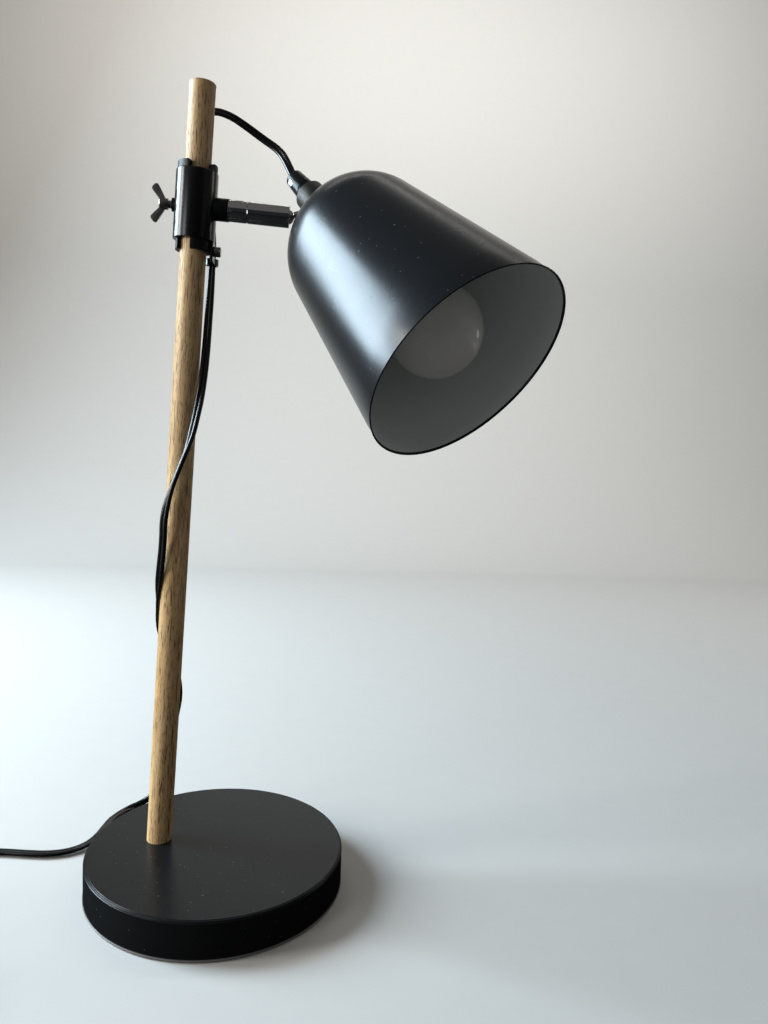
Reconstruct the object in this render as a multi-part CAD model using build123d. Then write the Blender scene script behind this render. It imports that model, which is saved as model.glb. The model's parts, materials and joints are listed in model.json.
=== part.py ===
from build123d import *
import math
import os

# Desk lamp: disc foot, leaning oak post, sliding clamp, swivel arm, ball joint and bell shade.
# Millimetres and degrees. Z is up, X follows the arm, the origin is under the foot's centre.

# Gaps between pieces, on the radius where they are round.
RUNNING_GAP = 0.1
CLOSE_GAP = 0.05
LOOSE_GAP = 0.3

# Foot.
FOOT_D = 180.0
FOOT_H = 27.0
FOOT_LIFT = 0.8
COVER_WALL = 1.2
COVER_EDGE_R = 2.0
HEM_WIDTH = 4.5
HEM_T = 1.0
HEM_EDGE_R = 0.6
WEIGHT_EDGE_R = 1.5
WEIGHT_TOP_T = 10.0
WEIGHT_RIM = 14.0
WEIGHT_BOSS_D = 32.0

# Post, with its foot on top of the cover.
POST_D = 17.5
POST_LENGTH = 526.0
POST_LEAN = 2.4
POST_X = -42.3
POST_Y = 8.7
POST_TOP_R = 0.8
SOCKET_DEPTH = 12.0
POST_BORE_D = 9.0
POST_BORE_DEPTH = 17.0
INSERT_LENGTH = 15.0
FOOT_BOLT_D = 6.0
FOOT_BOLT_HEAD_D = 11.0
FOOT_BOLT_HEAD_H = 4.5
FOOT_BOLT_KEY = 2.5
FOOT_BOLT_GRIP = 8.0
WASHER_D = 14.0
WASHER_T = 1.2
WEB_UNDER_POST = 5.8

# Clamp, measured along the post from the foot's top.
CLAMP_HEIGHT = 446.0
LINER_WALL = 3.05
LINER_TOP = 27.5
LINER_BOTTOM = -29.5
COLLAR_D = 26.4
COLLAR_T = 4.8
SLEEVE_WALL = 2.0
SLEEVE_LENGTH = 45.0
SLEEVE_EDGE_R = 0.6
LINER_SLOT = 3.0
LINER_SLOT_TILT = 11.6
LINER_SLOT_X = -0.5
TOP_NOTCH = (-109.0, -26.0)
BOTTOM_NOTCH = (-146.0, -93.0)

# Wing screw, on the side away from the arm.
SCREW_D = 5.0
SCREW_BOSS_D = 9.0
SCREW_BOSS_REACH = 15.5
PAD_D = 4.6
PAD_T = 1.9
WING_HUB_D = 7.4
WING_HUB_START = 18.1
WING_HUB_LENGTH = 6.0
WING_T = 2.0
WING_TIP_REACH = 29.8
WING_SPAN = 14.0
WING_TIP_WIDTH = 4.6
WING_ROOT = 2.4
WING_SHOULDER = 1.2
WING_HUB_R = 1.2
WING_EDGE = 0.4
WING_TIP_R = 1.8
WING_TIP_SLOPE = 3.7

# Arm, measured from the post's axis.
BOSS_D = 15.0
BOSS_END = 22.2
STUD_D = 8.0
STUD_START = 15.6
STUD_END = 31.0
ARM_WASHER_T = 0.8
ARM_WASHER_D = 15.2
TUBE_D = 14.6
RING_END = 34.6
RING_EDGE = 0.35
PIVOT_D = 5.0
PIVOT_START = 26.0
PIVOT_HEAD_D = 8.8
PIVOT_HEAD_H = 3.0
PIVOT_SLOT = 1.2
PIVOT_ROOM = 1.0
TUBE_WEB = 2.3
TUBE_BORE_D = 10.6
TUBE_LIP = 1.6
BALL_REACH = 61.6
BALL_D = 10.0
SEAT_START = 52.5
SEAT_CUP = 2.1
DISC_COUNT = 10
DISC_T = 0.5
DISC_BORE_D = 5.4

# Ball stud, measured from the ball's centre towards the head.
STUD_NECK_D = 4.6
COLLAR_FACE = 16.94
STUD_COLLAR_D = 8.4
STUD_COLLAR_T = 2.5
STUD_THREAD_D = 6.0
STUD_THREAD_LENGTH = 4.36

# Lead clip under the sleeve.
CLIP_T = 1.2
CLIP_GAP = 0.6
CLIP_SIDE = 4.5
CLIP_DROP = 12.5
CLIP_RING_H = 4.5
CLIP_RING_WALL = 1.0
CLIP_RING_GAP = 0.45
CLIP_RING_X = 11.1
CLIP_RING_Y = 13.3
CLIP_SCREW_D = 3.0
CLIP_SCREW_HEAD_D = 6.8
CLIP_SCREW_HEAD_H = 4.8
CLIP_SCREW_DROP = 5.5
CLIP_SCREW_SLOT = 0.9
CLIP_SCREW_EDGE = 0.4

# Head, measured along its axis from the shade's mouth.
HEAD_SWIVEL = 41.33
HEAD_TILT = 33.155
BALL_TO_AXIS = 27.34
BALL_ABOVE_SHADE = 20.95
MOUTH_D = 142.6
SHADE_TAPER = 9.0
SHADE_H = 154.5
SHADE_WALL = 1.0
CROWN_H = 36.8
CROWN_TURN = 66.23
CROWN_EDGE_R = 5.0
RIM_EDGE_R = 0.45
NECK_D = 22.0
NECK_LENGTH = 43.0
NECK_EDGE = 0.6
FLANGE_D = 18.4
FLANGE_T = 2.8
FLANGE_EDGE_R = 0.8
GRIP_BASE_D = 14.6
GRIP_TOP_D = 10.0
GRIP_LENGTH = 19.7
GRIP_COLLAR = 3.0
GRIP_TOP_R = 1.0
GRIP_SCREW_D = 4.0
GRIP_SCREW_HEIGHT = 12.7
GRIP_SCREW_AZIMUTH = 195.0
GRIP_SCREW_LENGTH = 3.2
GRIP_SCREW_SLOT = 0.7
NIPPLE_D = 10.0
NIPPLE_BORE_D = 7.2
NIPPLE_INTO_CAP = 9.0
NIPPLE_INTO_GRIP = 5.7
NUT_WIDTH = 14.0
NUT_T = 3.4

# Lampholder, measured from its top under the shade's nut.
HOLDER_D = 39.0
HOLDER_WALL = 2.0
HOLDER_LENGTH = 64.1
HOLDER_LIP = 3.0
HOLDER_CAP_LENGTH = 25.1
HOLDER_CAP_SIDE = 5.0
HOLDER_CAP_TOP_D = 20.0
HOLDER_NECK_H = 3.0
SHELL_D = 27.8
SHELL_T = 0.5
SHELL_DEPTH = 6.0
SHELL_LENGTH = 20.0
CERAMIC_T = 7.5
CONTACT_T = 1.1
CONTACT_WIDTH = 6.0
CONTACT_LENGTH = 18.0
SIDE_CONTACT_WIDTH = 2.4
TERMINAL_D = 4.0
TERMINAL_H = 2.6
TERMINAL_SPREAD = 9.0
TERMINAL_SLOT = 0.8

# Bulb, whose tip stands on the lampholder's centre contact.
BULB_D = 60.0
BULB_LENGTH = 108.0
BULB_DEPTH = 29.3
GLASS_T = 0.6
BULB_TURN = 130.0
GLASS_NECK_D = 26.4
BULB_CAP_D = 26.0
BULB_CAP_WALL = 0.4
GLASS_INTO_CAP = 4.0
BULB_CAP_LENGTH = 20.7
INSULATOR_T = 3.8
INSULATOR_STEP = 1.5
INSULATOR_RIM = 1.0
BULB_CONTACT_D = 9.0
BULB_CONTACT_H = 1.5
STEM_D = 5.0
STEM_LENGTH = 30.0
FLARE_T = 1.4
FILAMENT_D = 1.2
FILAMENT_SPAN = 22.0
FILAMENT_RISE = 4.0

# Flat twin lead: its width is its diameter here.
CORD_D = 6.0
WIRE_D = 2.0
WIRE_PITCH = 2.8
JACKET_LENGTH = 12.8
WIRE_BEND_R = 4.0
LOOP_FRONT = [(31.9, 49.8, 517.1), (25.6, 55.1, 526.8), (16.2, 56.6, 536.4)]
LOOP_REAR = [(5, 54.6, 544.4), (-7, 49.2, 549.6), (-18, 41.5, 549), (-26, 34.8, 540.5),
             (-29.3, 31, 526.5), (-28.3, 29.3, 509.5), (-24.2, 28.9, 492), (-18.4, 28.4, 476),
             (-14.6, 26.2, 463.5), (-13.6, 23, 452)]
DROP_UPPER = [(-14, 21.4, 432), (-14.3, 18.4, 415.5), (-14.7, 14.2, 397), (-15.2, 9.7, 377.2),
              (-16.2, 3.6, 356.2), (-18.3, -2.2, 336.5)]
DROP_LOWER = [(-22.5, -7.8, 313.5), (-28.6, -10, 297.5), (-35, -9.3, 280), (-39.3, -6.6, 263.1),
              (-42, -2.8, 245.1), (-45, 1, 224.2), (-47.6, 6.2, 204.3), (-48, 12.7, 185.4),
              (-44.7, 19.2, 167.2), (-38.3, 22.7, 150), (-34.4, 22.3, 131.7), (-35.3, 22.6, 111.8),
              (-40.2, 23.6, 90), (-43.6, 25.6, 72.5)]
FLOOR_RUN = [(-45.9, 29.6, 52.3), (-47.6, 34.9, 42.6), (-49.9, 44.9, 36.4), (-52.4, 58.5, 34.6),
             (-54.6, 73, 36.5), (-56.2, 86.5, 36), (-57.7, 99, 31), (-60.5, 107.5, 21.5),
             (-67.5, 109.5, 10.5), (-78.5, 106, 4.2), (-89, 97.5, 3), (-95, 84, 3), (-97, 69, 3),
             (-99, 54.5, 3), (-104.5, 42.5, 3), (-114.5, 34.5, 3), (-128.5, 31.5, 3), (-146, 33, 3),
             (-165, 36, 3), (-183, 35, 3), (-197, 28, 3), (-206, 16, 4.2), (-209.4, 2, 7),
             (-210, -12, 8.5)]
ARC_SHARE = 0.45

# In-line switch, lying along Y; the lead from the lamp enters it at SWITCH_Y.
SWITCH_X = -210.0
SWITCH_Y = -24.0
SWITCH_LENGTH = 64.0
SWITCH_WIDTH = 28.0
SWITCH_H = 17.0
SWITCH_WALL = 1.8
SWITCH_CORNER_R = 5.0
SWITCH_TOP_R = 1.5
STUB_LENGTH = 6.0
ROCKER_WIDTH = 12.0
ROCKER_R = 12.0
ROCKER_PIVOT = 11.0
ROCKER_RISE = 7.0
ROCKER_BELOW = 2.0
ROCKER_PIN_D = 3.0
ROCKER_PIN_LENGTH = 1.5
LUG_T = 2.0
LUG_WIDTH = 8.0
LUG_UNDER_PIN = 1.0
SWITCH_POST_D = 5.6
SWITCH_POST_X = 8.8
SWITCH_POST_Y = 23.0
SWITCH_SCREW_D = 2.5
SWITCH_SCREW_HEAD_D = 4.4
SWITCH_SCREW_HEAD_H = 1.5
SWITCH_SCREW_BITE = 5.0
SWITCH_SCREW_SINK = 0.2
CONTACT_BLOCK = (5.0, 8.0, 5.0)
CONTACT_BLOCK_X = -4.0
CONTACT_BLOCK_Y = 12.0
LEAF_T = 0.4
LEAF_WIDTH = 4.0
CAM_WIDTH = 2.5
NEUTRAL_X = 8.0
WIRE_LEAD_IN = 1.0
LIVE_BEND_R = 1.5
NEUTRAL_BEND_R = 6.0

# Coil of the put-away lead: two layers of turns, held by a tie.
COIL_Y = -126.0
COIL_LAYER_TURNS = 1.75
COIL_MEAN_D = 60.5
COIL_GAP = 0.45
TIE_WIDTH = 9.0
TIE_T = 1.0
TIE_AZIMUTH = 30.0
LINK_SHARE = 0.28

# Two-pin plug, lying beyond the coil along Y.
PLUG_Y = -162.0
RELIEF_LENGTH = 22.0
RELIEF_TIP_D = 7.4
RELIEF_ROOT_D = 9.6
PLUG_LENGTH = 36.0
PLUG_WIDTH = 26.0
PLUG_BACK_WIDTH = 14.0
PLUG_H = 13.7
PLUG_EDGE_R = 2.0
PLUG_SHOULDER = 14.0
PIN_D = 4.0
PIN_LENGTH = 19.0
PIN_PITCH = 18.6
PIN_ROOT = 6.0
PIN_SLEEVE_LENGTH = 10.0
PIN_SLEEVE_WALL = 0.4
PIN_TIP_R = 1.6

FROM_BASE = (Align.CENTER, Align.CENTER, Align.MIN)

# Sizes that follow from the ones above.
HALF_SLEEVE = SLEEVE_LENGTH / 2
POST_R = POST_D / 2
LINER_BORE_R = POST_R + RUNNING_GAP
LINER_R = LINER_BORE_R + LINER_WALL
SLEEVE_BORE_R = LINER_R + RUNNING_GAP
SLEEVE_R = SLEEVE_BORE_R + SLEEVE_WALL
COVER_TOP_INSIDE = FOOT_H - COVER_WALL
HEM_TOP = FOOT_LIFT + HEM_T
RING_START = BOSS_END + ARM_WASHER_T
TUBE_START = RING_END + RUNNING_GAP
TUBE_BORE_START = TUBE_START + TUBE_WEB
TUBE_END = BALL_REACH + TUBE_LIP
COLLAR_SEAT = BALL_TO_AXIS - COLLAR_FACE
NECK_TOP = SHADE_H + NECK_LENGTH
FLANGE_TOP = NECK_TOP + FLANGE_T
GRIP_TOP = FLANGE_TOP + GRIP_LENGTH
SHADE_CONE_H = SHADE_H - CROWN_H
BALL_HEIGHT = SHADE_H + BALL_ABOVE_SHADE
NUT_TOP = SHADE_H - SHADE_WALL
HOLDER_TOP = NUT_TOP - NUT_T
HOLDER_MOUTH = HOLDER_TOP - HOLDER_LENGTH
HOLDER_JOINT = HOLDER_TOP - HOLDER_CAP_LENGTH
SHELL_START = HOLDER_MOUTH + SHELL_DEPTH
BULB_TIP = HOLDER_MOUTH + BULB_DEPTH
BULB_FRONT = BULB_TIP - BULB_LENGTH
BULB_CAP_START = BULB_TIP - BULB_CONTACT_H - INSULATOR_T - BULB_CAP_LENGTH
GLASS_TOP = BULB_CAP_START + GLASS_INTO_CAP
CERAMIC_START = BULB_TIP + CONTACT_T
COIL_PITCH = CORD_D + COIL_GAP
COIL_TURNS = 2 * COIL_LAYER_TURNS + 0.5
COIL_OUTER_R = COIL_MEAN_D / 2 + COIL_PITCH * COIL_TURNS / 4
COIL_X = SWITCH_X + COIL_OUTER_R
COIL_LIFT = CORD_D / 2 + TIE_T + CLOSE_GAP
CORD_WAY_D = CORD_D + 2 * LOOSE_GAP


def post_frame():
    """Place of the post's foot, with Z along the post and X along the arm."""
    lean = math.radians(POST_LEAN)
    up = (math.sin(lean), 0, math.cos(lean))
    along = (math.cos(lean), 0, -math.sin(lean))
    return Plane(origin=(POST_X, POST_Y, FOOT_H), x_dir=along, z_dir=up).location


def head_frame():
    """Place of the shade's mouth, in the clamp's frame, with Z up the shade's axis."""
    swivel = math.radians(HEAD_SWIVEL)
    tilt = math.radians(HEAD_TILT)
    arm = Vector(1, 0, 0)
    hang = Vector(0, -math.sin(swivel), -math.cos(swivel))
    down = hang * math.cos(tilt) + arm * math.sin(tilt)
    out = arm * math.cos(tilt) - hang * math.sin(tilt)
    mouth = arm * BALL_REACH + out * BALL_TO_AXIS + down * BALL_HEIGHT
    return Plane(origin=mouth, x_dir=out, z_dir=-down).location


POST = post_frame()
CLAMP = POST * Pos(0, 0, CLAMP_HEIGHT)
ARM = CLAMP * Rot(0, 90, 0)
HEAD = CLAMP * head_frame()
SWITCH = Pos(SWITCH_X, SWITCH_Y - SWITCH_LENGTH / 2, 0)
PLUG = Pos(SWITCH_X, PLUG_Y, PLUG_H / 2) * Rot(90, 0, 0)
COIL_INTO = Vector(0, -1, 0)
parts = {}


def turned(*outline):
    """Solid turned about Z from (radius, height) points."""
    return revolve(Plane.XZ * make_face(Polyline(*outline, close=True)), Axis.Z)


def ring(outer, inner, low, high):
    """Ring about Z with the given outer and inner diameters."""
    return turned((inner / 2, low), (outer / 2, low), (outer / 2, high), (inner / 2, high))


def disc(diameter, low, high):
    """Round bar about Z."""
    return Pos(0, 0, low) * Cylinder(diameter / 2, high - low, align=FROM_BASE)


def block(size, centre):
    """Box of the given size about a centre."""
    return Pos(*centre) * Box(*size)


def sector(radius, start, end, low, high):
    """Wedge about Z between two azimuths, for cutting."""
    rays = [(radius * math.cos(math.radians(a)), radius * math.sin(math.radians(a)))
            for a in (start, (start + end) / 2, end)]
    return Pos(0, 0, low) * extrude(make_face(Polyline((0, 0), *rays, close=True)), high - low)


def edges_at(shape, height, radius=None):
    """Round edges of a turned shape at one height, and at one radius if it is given."""
    found = shape.edges().filter_by(GeomType.CIRCLE)
    found = [e for e in found if abs(e.arc_center.Z - height) < 0.01]
    if radius is not None:
        found = [e for e in found if abs(e.radius - radius) < 0.01]
    return found


def add(name, shape):
    """Keep a finished piece under its node's name."""
    parts[name] = shape


def foot():
    """Cover with its hem, iron weight and pad."""
    outer = disc(FOOT_D, FOOT_LIFT, FOOT_H)
    outer = fillet(edges_at(outer, FOOT_H), COVER_EDGE_R)
    outer = fillet(edges_at(outer, FOOT_LIFT), HEM_EDGE_R)
    inner_d = FOOT_D - 2 * COVER_WALL
    inner = disc(inner_d, HEM_TOP, COVER_TOP_INSIDE)
    inner = fillet(edges_at(inner, COVER_TOP_INSIDE), COVER_EDGE_R - COVER_WALL)
    hem_bore = disc(FOOT_D - 2 * HEM_WIDTH, FOOT_LIFT, HEM_TOP)
    post_hole = POST * Pos(0, 0, -SOCKET_DEPTH) * Cylinder(
        POST_R + LOOSE_GAP / 2, 2 * SOCKET_DEPTH, align=FROM_BASE)
    add("base_cover", outer - inner - hem_bore - post_hole)

    weight = disc(inner_d - 2 * LOOSE_GAP, HEM_TOP, COVER_TOP_INSIDE)
    weight = fillet(edges_at(weight, COVER_TOP_INSIDE), WEIGHT_EDGE_R)
    recess_top = COVER_TOP_INSIDE - WEIGHT_TOP_T
    recess = disc(inner_d - 2 * LOOSE_GAP - 2 * WEIGHT_RIM, HEM_TOP, recess_top)
    weight -= recess - Pos(POST_X, POST_Y, 0) * disc(WEIGHT_BOSS_D, HEM_TOP, recess_top)
    head_face = -SOCKET_DEPTH - WEB_UNDER_POST
    socket = POST * disc(POST_D + 2 * RUNNING_GAP, -SOCKET_DEPTH, SOCKET_DEPTH)
    bolt_hole = POST * disc(FOOT_BOLT_D + 2 * LOOSE_GAP, head_face, 0)
    counterbore = POST * disc(WASHER_D + 2 * LOOSE_GAP, head_face - FOOT_H, head_face)
    add("base_weight", weight - socket - bolt_hole - counterbore)
    add("base_pad", disc(FOOT_D - 2 * HEM_WIDTH - 2 * LOOSE_GAP, 0, HEM_TOP))


def post():
    """Oak post with its insert, bolt and washer."""
    dowel = disc(POST_D, -SOCKET_DEPTH, POST_LENGTH)
    dowel = fillet(edges_at(dowel, POST_LENGTH), POST_TOP_R)
    dowel -= disc(POST_BORE_D, -SOCKET_DEPTH, POST_BORE_DEPTH - SOCKET_DEPTH)
    add("rod", POST * dowel)
    insert_top = INSERT_LENGTH - SOCKET_DEPTH
    add("rod_insert", POST * ring(POST_BORE_D, FOOT_BOLT_D + 2 * CLOSE_GAP,
                                  -SOCKET_DEPTH, insert_top))
    washer_top = -SOCKET_DEPTH - WEB_UNDER_POST
    head_top = washer_top - WASHER_T
    add("rod_washer", POST * ring(WASHER_D, FOOT_BOLT_D + 2 * RUNNING_GAP, head_top, washer_top))
    bolt = disc(FOOT_BOLT_HEAD_D, head_top - FOOT_BOLT_HEAD_H, head_top)
    bolt += disc(FOOT_BOLT_D, head_top, FOOT_BOLT_GRIP - SOCKET_DEPTH)
    key = extrude(RegularPolygon(FOOT_BOLT_KEY, 6), FOOT_BOLT_KEY)
    bolt -= Pos(0, 0, head_top - FOOT_BOLT_HEAD_H) * key
    add("rod_bolt", POST * bolt)


def liner():
    """Split bush that slides on the post and turns in the sleeve."""
    bush = ring(2 * LINER_R, 2 * LINER_BORE_R, LINER_BOTTOM, LINER_TOP)
    bush += ring(COLLAR_D, 2 * LINER_BORE_R, LINER_TOP - COLLAR_T, LINER_TOP)
    reach = 2 * LINER_R
    bush -= sector(reach, *TOP_NOTCH, HALF_SLEEVE, LINER_TOP)
    bush -= sector(reach, *BOTTOM_NOTCH, LINER_BOTTOM, -HALF_SLEEVE)
    slot = Box(LINER_SLOT, 3 * LINER_WALL, SLEEVE_LENGTH + 2 * LINER_SLOT)
    mid_wall = LINER_BORE_R + LINER_WALL / 2
    bush -= Pos(LINER_SLOT_X, -mid_wall, 0) * Rot(0, LINER_SLOT_TILT, 0) * slot
    add("clamp_liner", CLAMP * bush)


def sleeve():
    """Steel sleeve with its screw boss, and the arm's boss."""
    tube = ring(2 * SLEEVE_R, 2 * SLEEVE_BORE_R, -HALF_SLEEVE, HALF_SLEEVE)
    rims = edges_at(tube, HALF_SLEEVE, SLEEVE_R) + edges_at(tube, -HALF_SLEEVE, SLEEVE_R)
    tube = fillet(rims, SLEEVE_EDGE_R)
    across = Rot(0, -90, 0)
    bore = disc(2 * SLEEVE_BORE_R, -SLEEVE_LENGTH, SLEEVE_LENGTH)
    tube += across * disc(SCREW_BOSS_D, 0, SCREW_BOSS_REACH) - bore
    tube -= across * disc(SCREW_D + 2 * CLOSE_GAP, 0, SCREW_BOSS_REACH)
    add("clamp_sleeve", CLAMP * tube)

    boss = Rot(0, 90, 0) * disc(BOSS_D, 0, BOSS_END)
    boss -= disc(2 * SLEEVE_R, -SLEEVE_LENGTH, SLEEVE_LENGTH)
    boss -= Rot(0, 90, 0) * disc(STUD_D, STUD_START, BOSS_END)
    add("arm_boss", CLAMP * boss)


def wing_screw():
    """Pressure pad and wing screw; Z runs outwards along the screw."""
    outward = CLAMP * Rot(0, -90, 0)
    pad_start = LINER_R + CLOSE_GAP
    pad_end = pad_start + PAD_T
    add("screw_pad", outward * disc(PAD_D, pad_start, pad_end))
    hub_end = WING_HUB_START + WING_HUB_LENGTH
    root = WING_HUB_START + WING_SHOULDER
    screw = disc(SCREW_D, pad_end + CLOSE_GAP, root)
    hub = disc(WING_HUB_D, WING_HUB_START, hub_end)
    screw += fillet(edges_at(hub, hub_end), WING_HUB_R)
    wing = make_face(Polyline((WING_ROOT, root), (WING_ROOT, hub_end - WING_EDGE),
                              (WING_SPAN - WING_TIP_WIDTH, WING_TIP_REACH),
                              (WING_SPAN, WING_TIP_REACH - WING_TIP_SLOPE), close=True))
    tips = wing.vertices().sort_by(Axis.X)[-2:]
    wing = extrude(fillet(tips, WING_TIP_R), WING_T / 2, both=True)
    wing = Rot(90, 0, 0) * wing
    screw += wing + mirror(wing, about=Plane.YZ)
    add("wing_screw", outward * screw)


def swivel():
    """Washer, ring, stud and pivot screw on the clamp, and the tube that turns on them."""
    add("arm_washer", ARM * ring(ARM_WASHER_D, STUD_D, BOSS_END, RING_START))
    fixed = disc(TUBE_D, RING_START, RING_END)
    fixed = chamfer(edges_at(fixed, RING_END), RING_EDGE)
    fixed -= disc(STUD_D, RING_START, STUD_END)
    fixed -= disc(PIVOT_D, STUD_END, RING_END)
    add("swivel_ring", ARM * fixed)
    add("arm_stud", ARM * (disc(STUD_D, STUD_START, STUD_END)
                           - disc(PIVOT_D, PIVOT_START - PIVOT_ROOM, STUD_END)))
    head_start = TUBE_BORE_START + RUNNING_GAP
    pivot = disc(PIVOT_D, PIVOT_START, head_start)
    pivot += disc(PIVOT_HEAD_D, head_start, head_start + PIVOT_HEAD_H)
    slot = Box(PIVOT_SLOT, 2 * PIVOT_HEAD_D, PIVOT_SLOT)
    pivot -= Pos(0, 0, head_start + PIVOT_HEAD_H) * slot
    add("pivot_screw", ARM * pivot)

    tube = disc(TUBE_D, TUBE_START, TUBE_END)
    tube = chamfer(edges_at(tube, TUBE_START) + edges_at(tube, TUBE_END), RING_EDGE)
    tube -= disc(PIVOT_D + 2 * CLOSE_GAP, TUBE_START, TUBE_BORE_START)
    tube -= disc(TUBE_BORE_D, TUBE_BORE_START, BALL_REACH - SEAT_CUP)
    tube -= Pos(0, 0, BALL_REACH) * Sphere(BALL_D / 2 + RUNNING_GAP)
    add("swivel_tube", ARM * tube)
    seat_d = TUBE_BORE_D - 2 * CLOSE_GAP
    seat = disc(seat_d, SEAT_START, BALL_REACH - SEAT_CUP)
    seat -= Pos(0, 0, BALL_REACH) * Sphere(BALL_D / 2 + CLOSE_GAP)
    add("ball_seat", ARM * seat)
    add("disc_springs", ARM * disc_springs(head_start + PIVOT_HEAD_H, SEAT_START))


def disc_springs(start, end):
    """Conical spring washers stacked in pairs between two faces."""
    pitch = (end - start) / DISC_COUNT
    rise = pitch - DISC_T - CLOSE_GAP
    outer = TUBE_BORE_D / 2 - CLOSE_GAP
    inner = DISC_BORE_D / 2
    washers = []
    for i in range(DISC_COUNT):
        low = start + i * pitch + CLOSE_GAP / 2
        inside = low + rise if i % 2 else low
        outside = low if i % 2 else low + rise
        washers.append(turned((inner, inside), (outer, outside),
                              (outer, outside + DISC_T), (inner, inside + DISC_T)))
    return Compound(children=washers)


def clip():
    """Lead clip under the sleeve, and its screw."""
    inside = LINER_R + CLIP_GAP
    outside = inside + CLIP_T
    bottom = -HALF_SLEEVE - CLIP_DROP
    ring_top = bottom + CLIP_RING_H
    at_ring = Pos(CLIP_RING_X, CLIP_RING_Y, 0)
    way_d = CORD_D + 2 * CLIP_RING_GAP
    ring_d = way_d + 2 * CLIP_RING_WALL
    reach = CLIP_RING_Y - CORD_D / 2 - CLIP_RING_WALL / 2
    tab = block((CLIP_T, reach + CLIP_SIDE, CLIP_DROP),
                (inside + CLIP_T / 2, (reach - CLIP_SIDE) / 2, -HALF_SLEEVE - CLIP_DROP / 2))
    tab -= block((2 * CLIP_T, 2 * reach, CLIP_DROP),
                 (inside, CLIP_SIDE + reach, ring_top + CLIP_DROP / 2))
    band = at_ring * disc(ring_d, bottom, ring_top)
    way = at_ring * disc(way_d, bottom, ring_top)
    height = -HALF_SLEEVE - CLIP_SCREW_DROP
    hole = Pos(0, 0, height) * Rot(0, 90, 0) * disc(CLIP_SCREW_D, inside, outside)
    add("cord_clip", CLAMP * (tab + band - way - hole))
    screw = disc(CLIP_SCREW_D, inside, outside)
    head_end = outside + CLIP_SCREW_HEAD_H
    head = disc(CLIP_SCREW_HEAD_D, outside, head_end)
    screw += chamfer(edges_at(head, head_end), CLIP_SCREW_EDGE)
    screw -= block((CLIP_SCREW_SLOT, 2 * CLIP_SCREW_HEAD_D, 2 * CLIP_SCREW_SLOT), (0, 0, head_end))
    add("clip_screw", CLAMP * Pos(0, 0, height) * Rot(0, 90, 0) * screw)


def ball_stud():
    """Ball, neck, collar and thread; it points along the head's X axis."""
    collar_start = COLLAR_FACE - STUD_COLLAR_T
    stud = Sphere(BALL_D / 2)
    stud += disc(STUD_NECK_D, 0, collar_start)
    stud += disc(STUD_COLLAR_D, collar_start, COLLAR_FACE)
    stud += disc(STUD_THREAD_D, COLLAR_FACE, COLLAR_FACE + STUD_THREAD_LENGTH)
    add("ball_stud", HEAD * Pos(-BALL_TO_AXIS, 0, BALL_HEIGHT) * Rot(0, 90, 0) * stud)


def bell(inset):
    """Solid inside the shade's outline, drawn in by inset."""
    slope = math.radians(SHADE_TAPER)
    cone_top_r = MOUTH_D / 2 - SHADE_CONE_H * math.tan(slope)
    crown_r = CROWN_H / (math.sin(math.radians(CROWN_TURN)) - math.sin(slope))
    centre = (cone_top_r - crown_r * math.cos(slope), SHADE_CONE_H - crown_r * math.sin(slope))
    radius = crown_r - inset
    top = SHADE_H - inset
    end = math.asin((top - centre[1]) / radius)

    def on_crown(angle):
        return (centre[0] + radius * math.cos(angle), centre[1] + radius * math.sin(angle))

    rim = (MOUTH_D / 2 - inset / math.cos(slope), 0)
    outline = Line((0, 0), rim) + Line(rim, on_crown(slope))
    outline += ThreePointArc(on_crown(slope), on_crown((slope + end) / 2), on_crown(end))
    outline += Line(on_crown(end), (0, top)) + Line((0, top), (0, 0))
    solid = revolve(Plane.XZ * make_face(outline), Axis.Z)
    return fillet(edges_at(solid, top), CROWN_EDGE_R + SHADE_WALL - inset)


def shade():
    """Spun bell with a hole for the nipple and a rounded rim."""
    shell = bell(0) - bell(SHADE_WALL) - disc(NIPPLE_D + 2 * RUNNING_GAP, NUT_TOP, SHADE_H)
    shell = fillet(edges_at(shell, 0), RIM_EDGE_R)
    add("shade", HEAD * shell)


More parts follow.
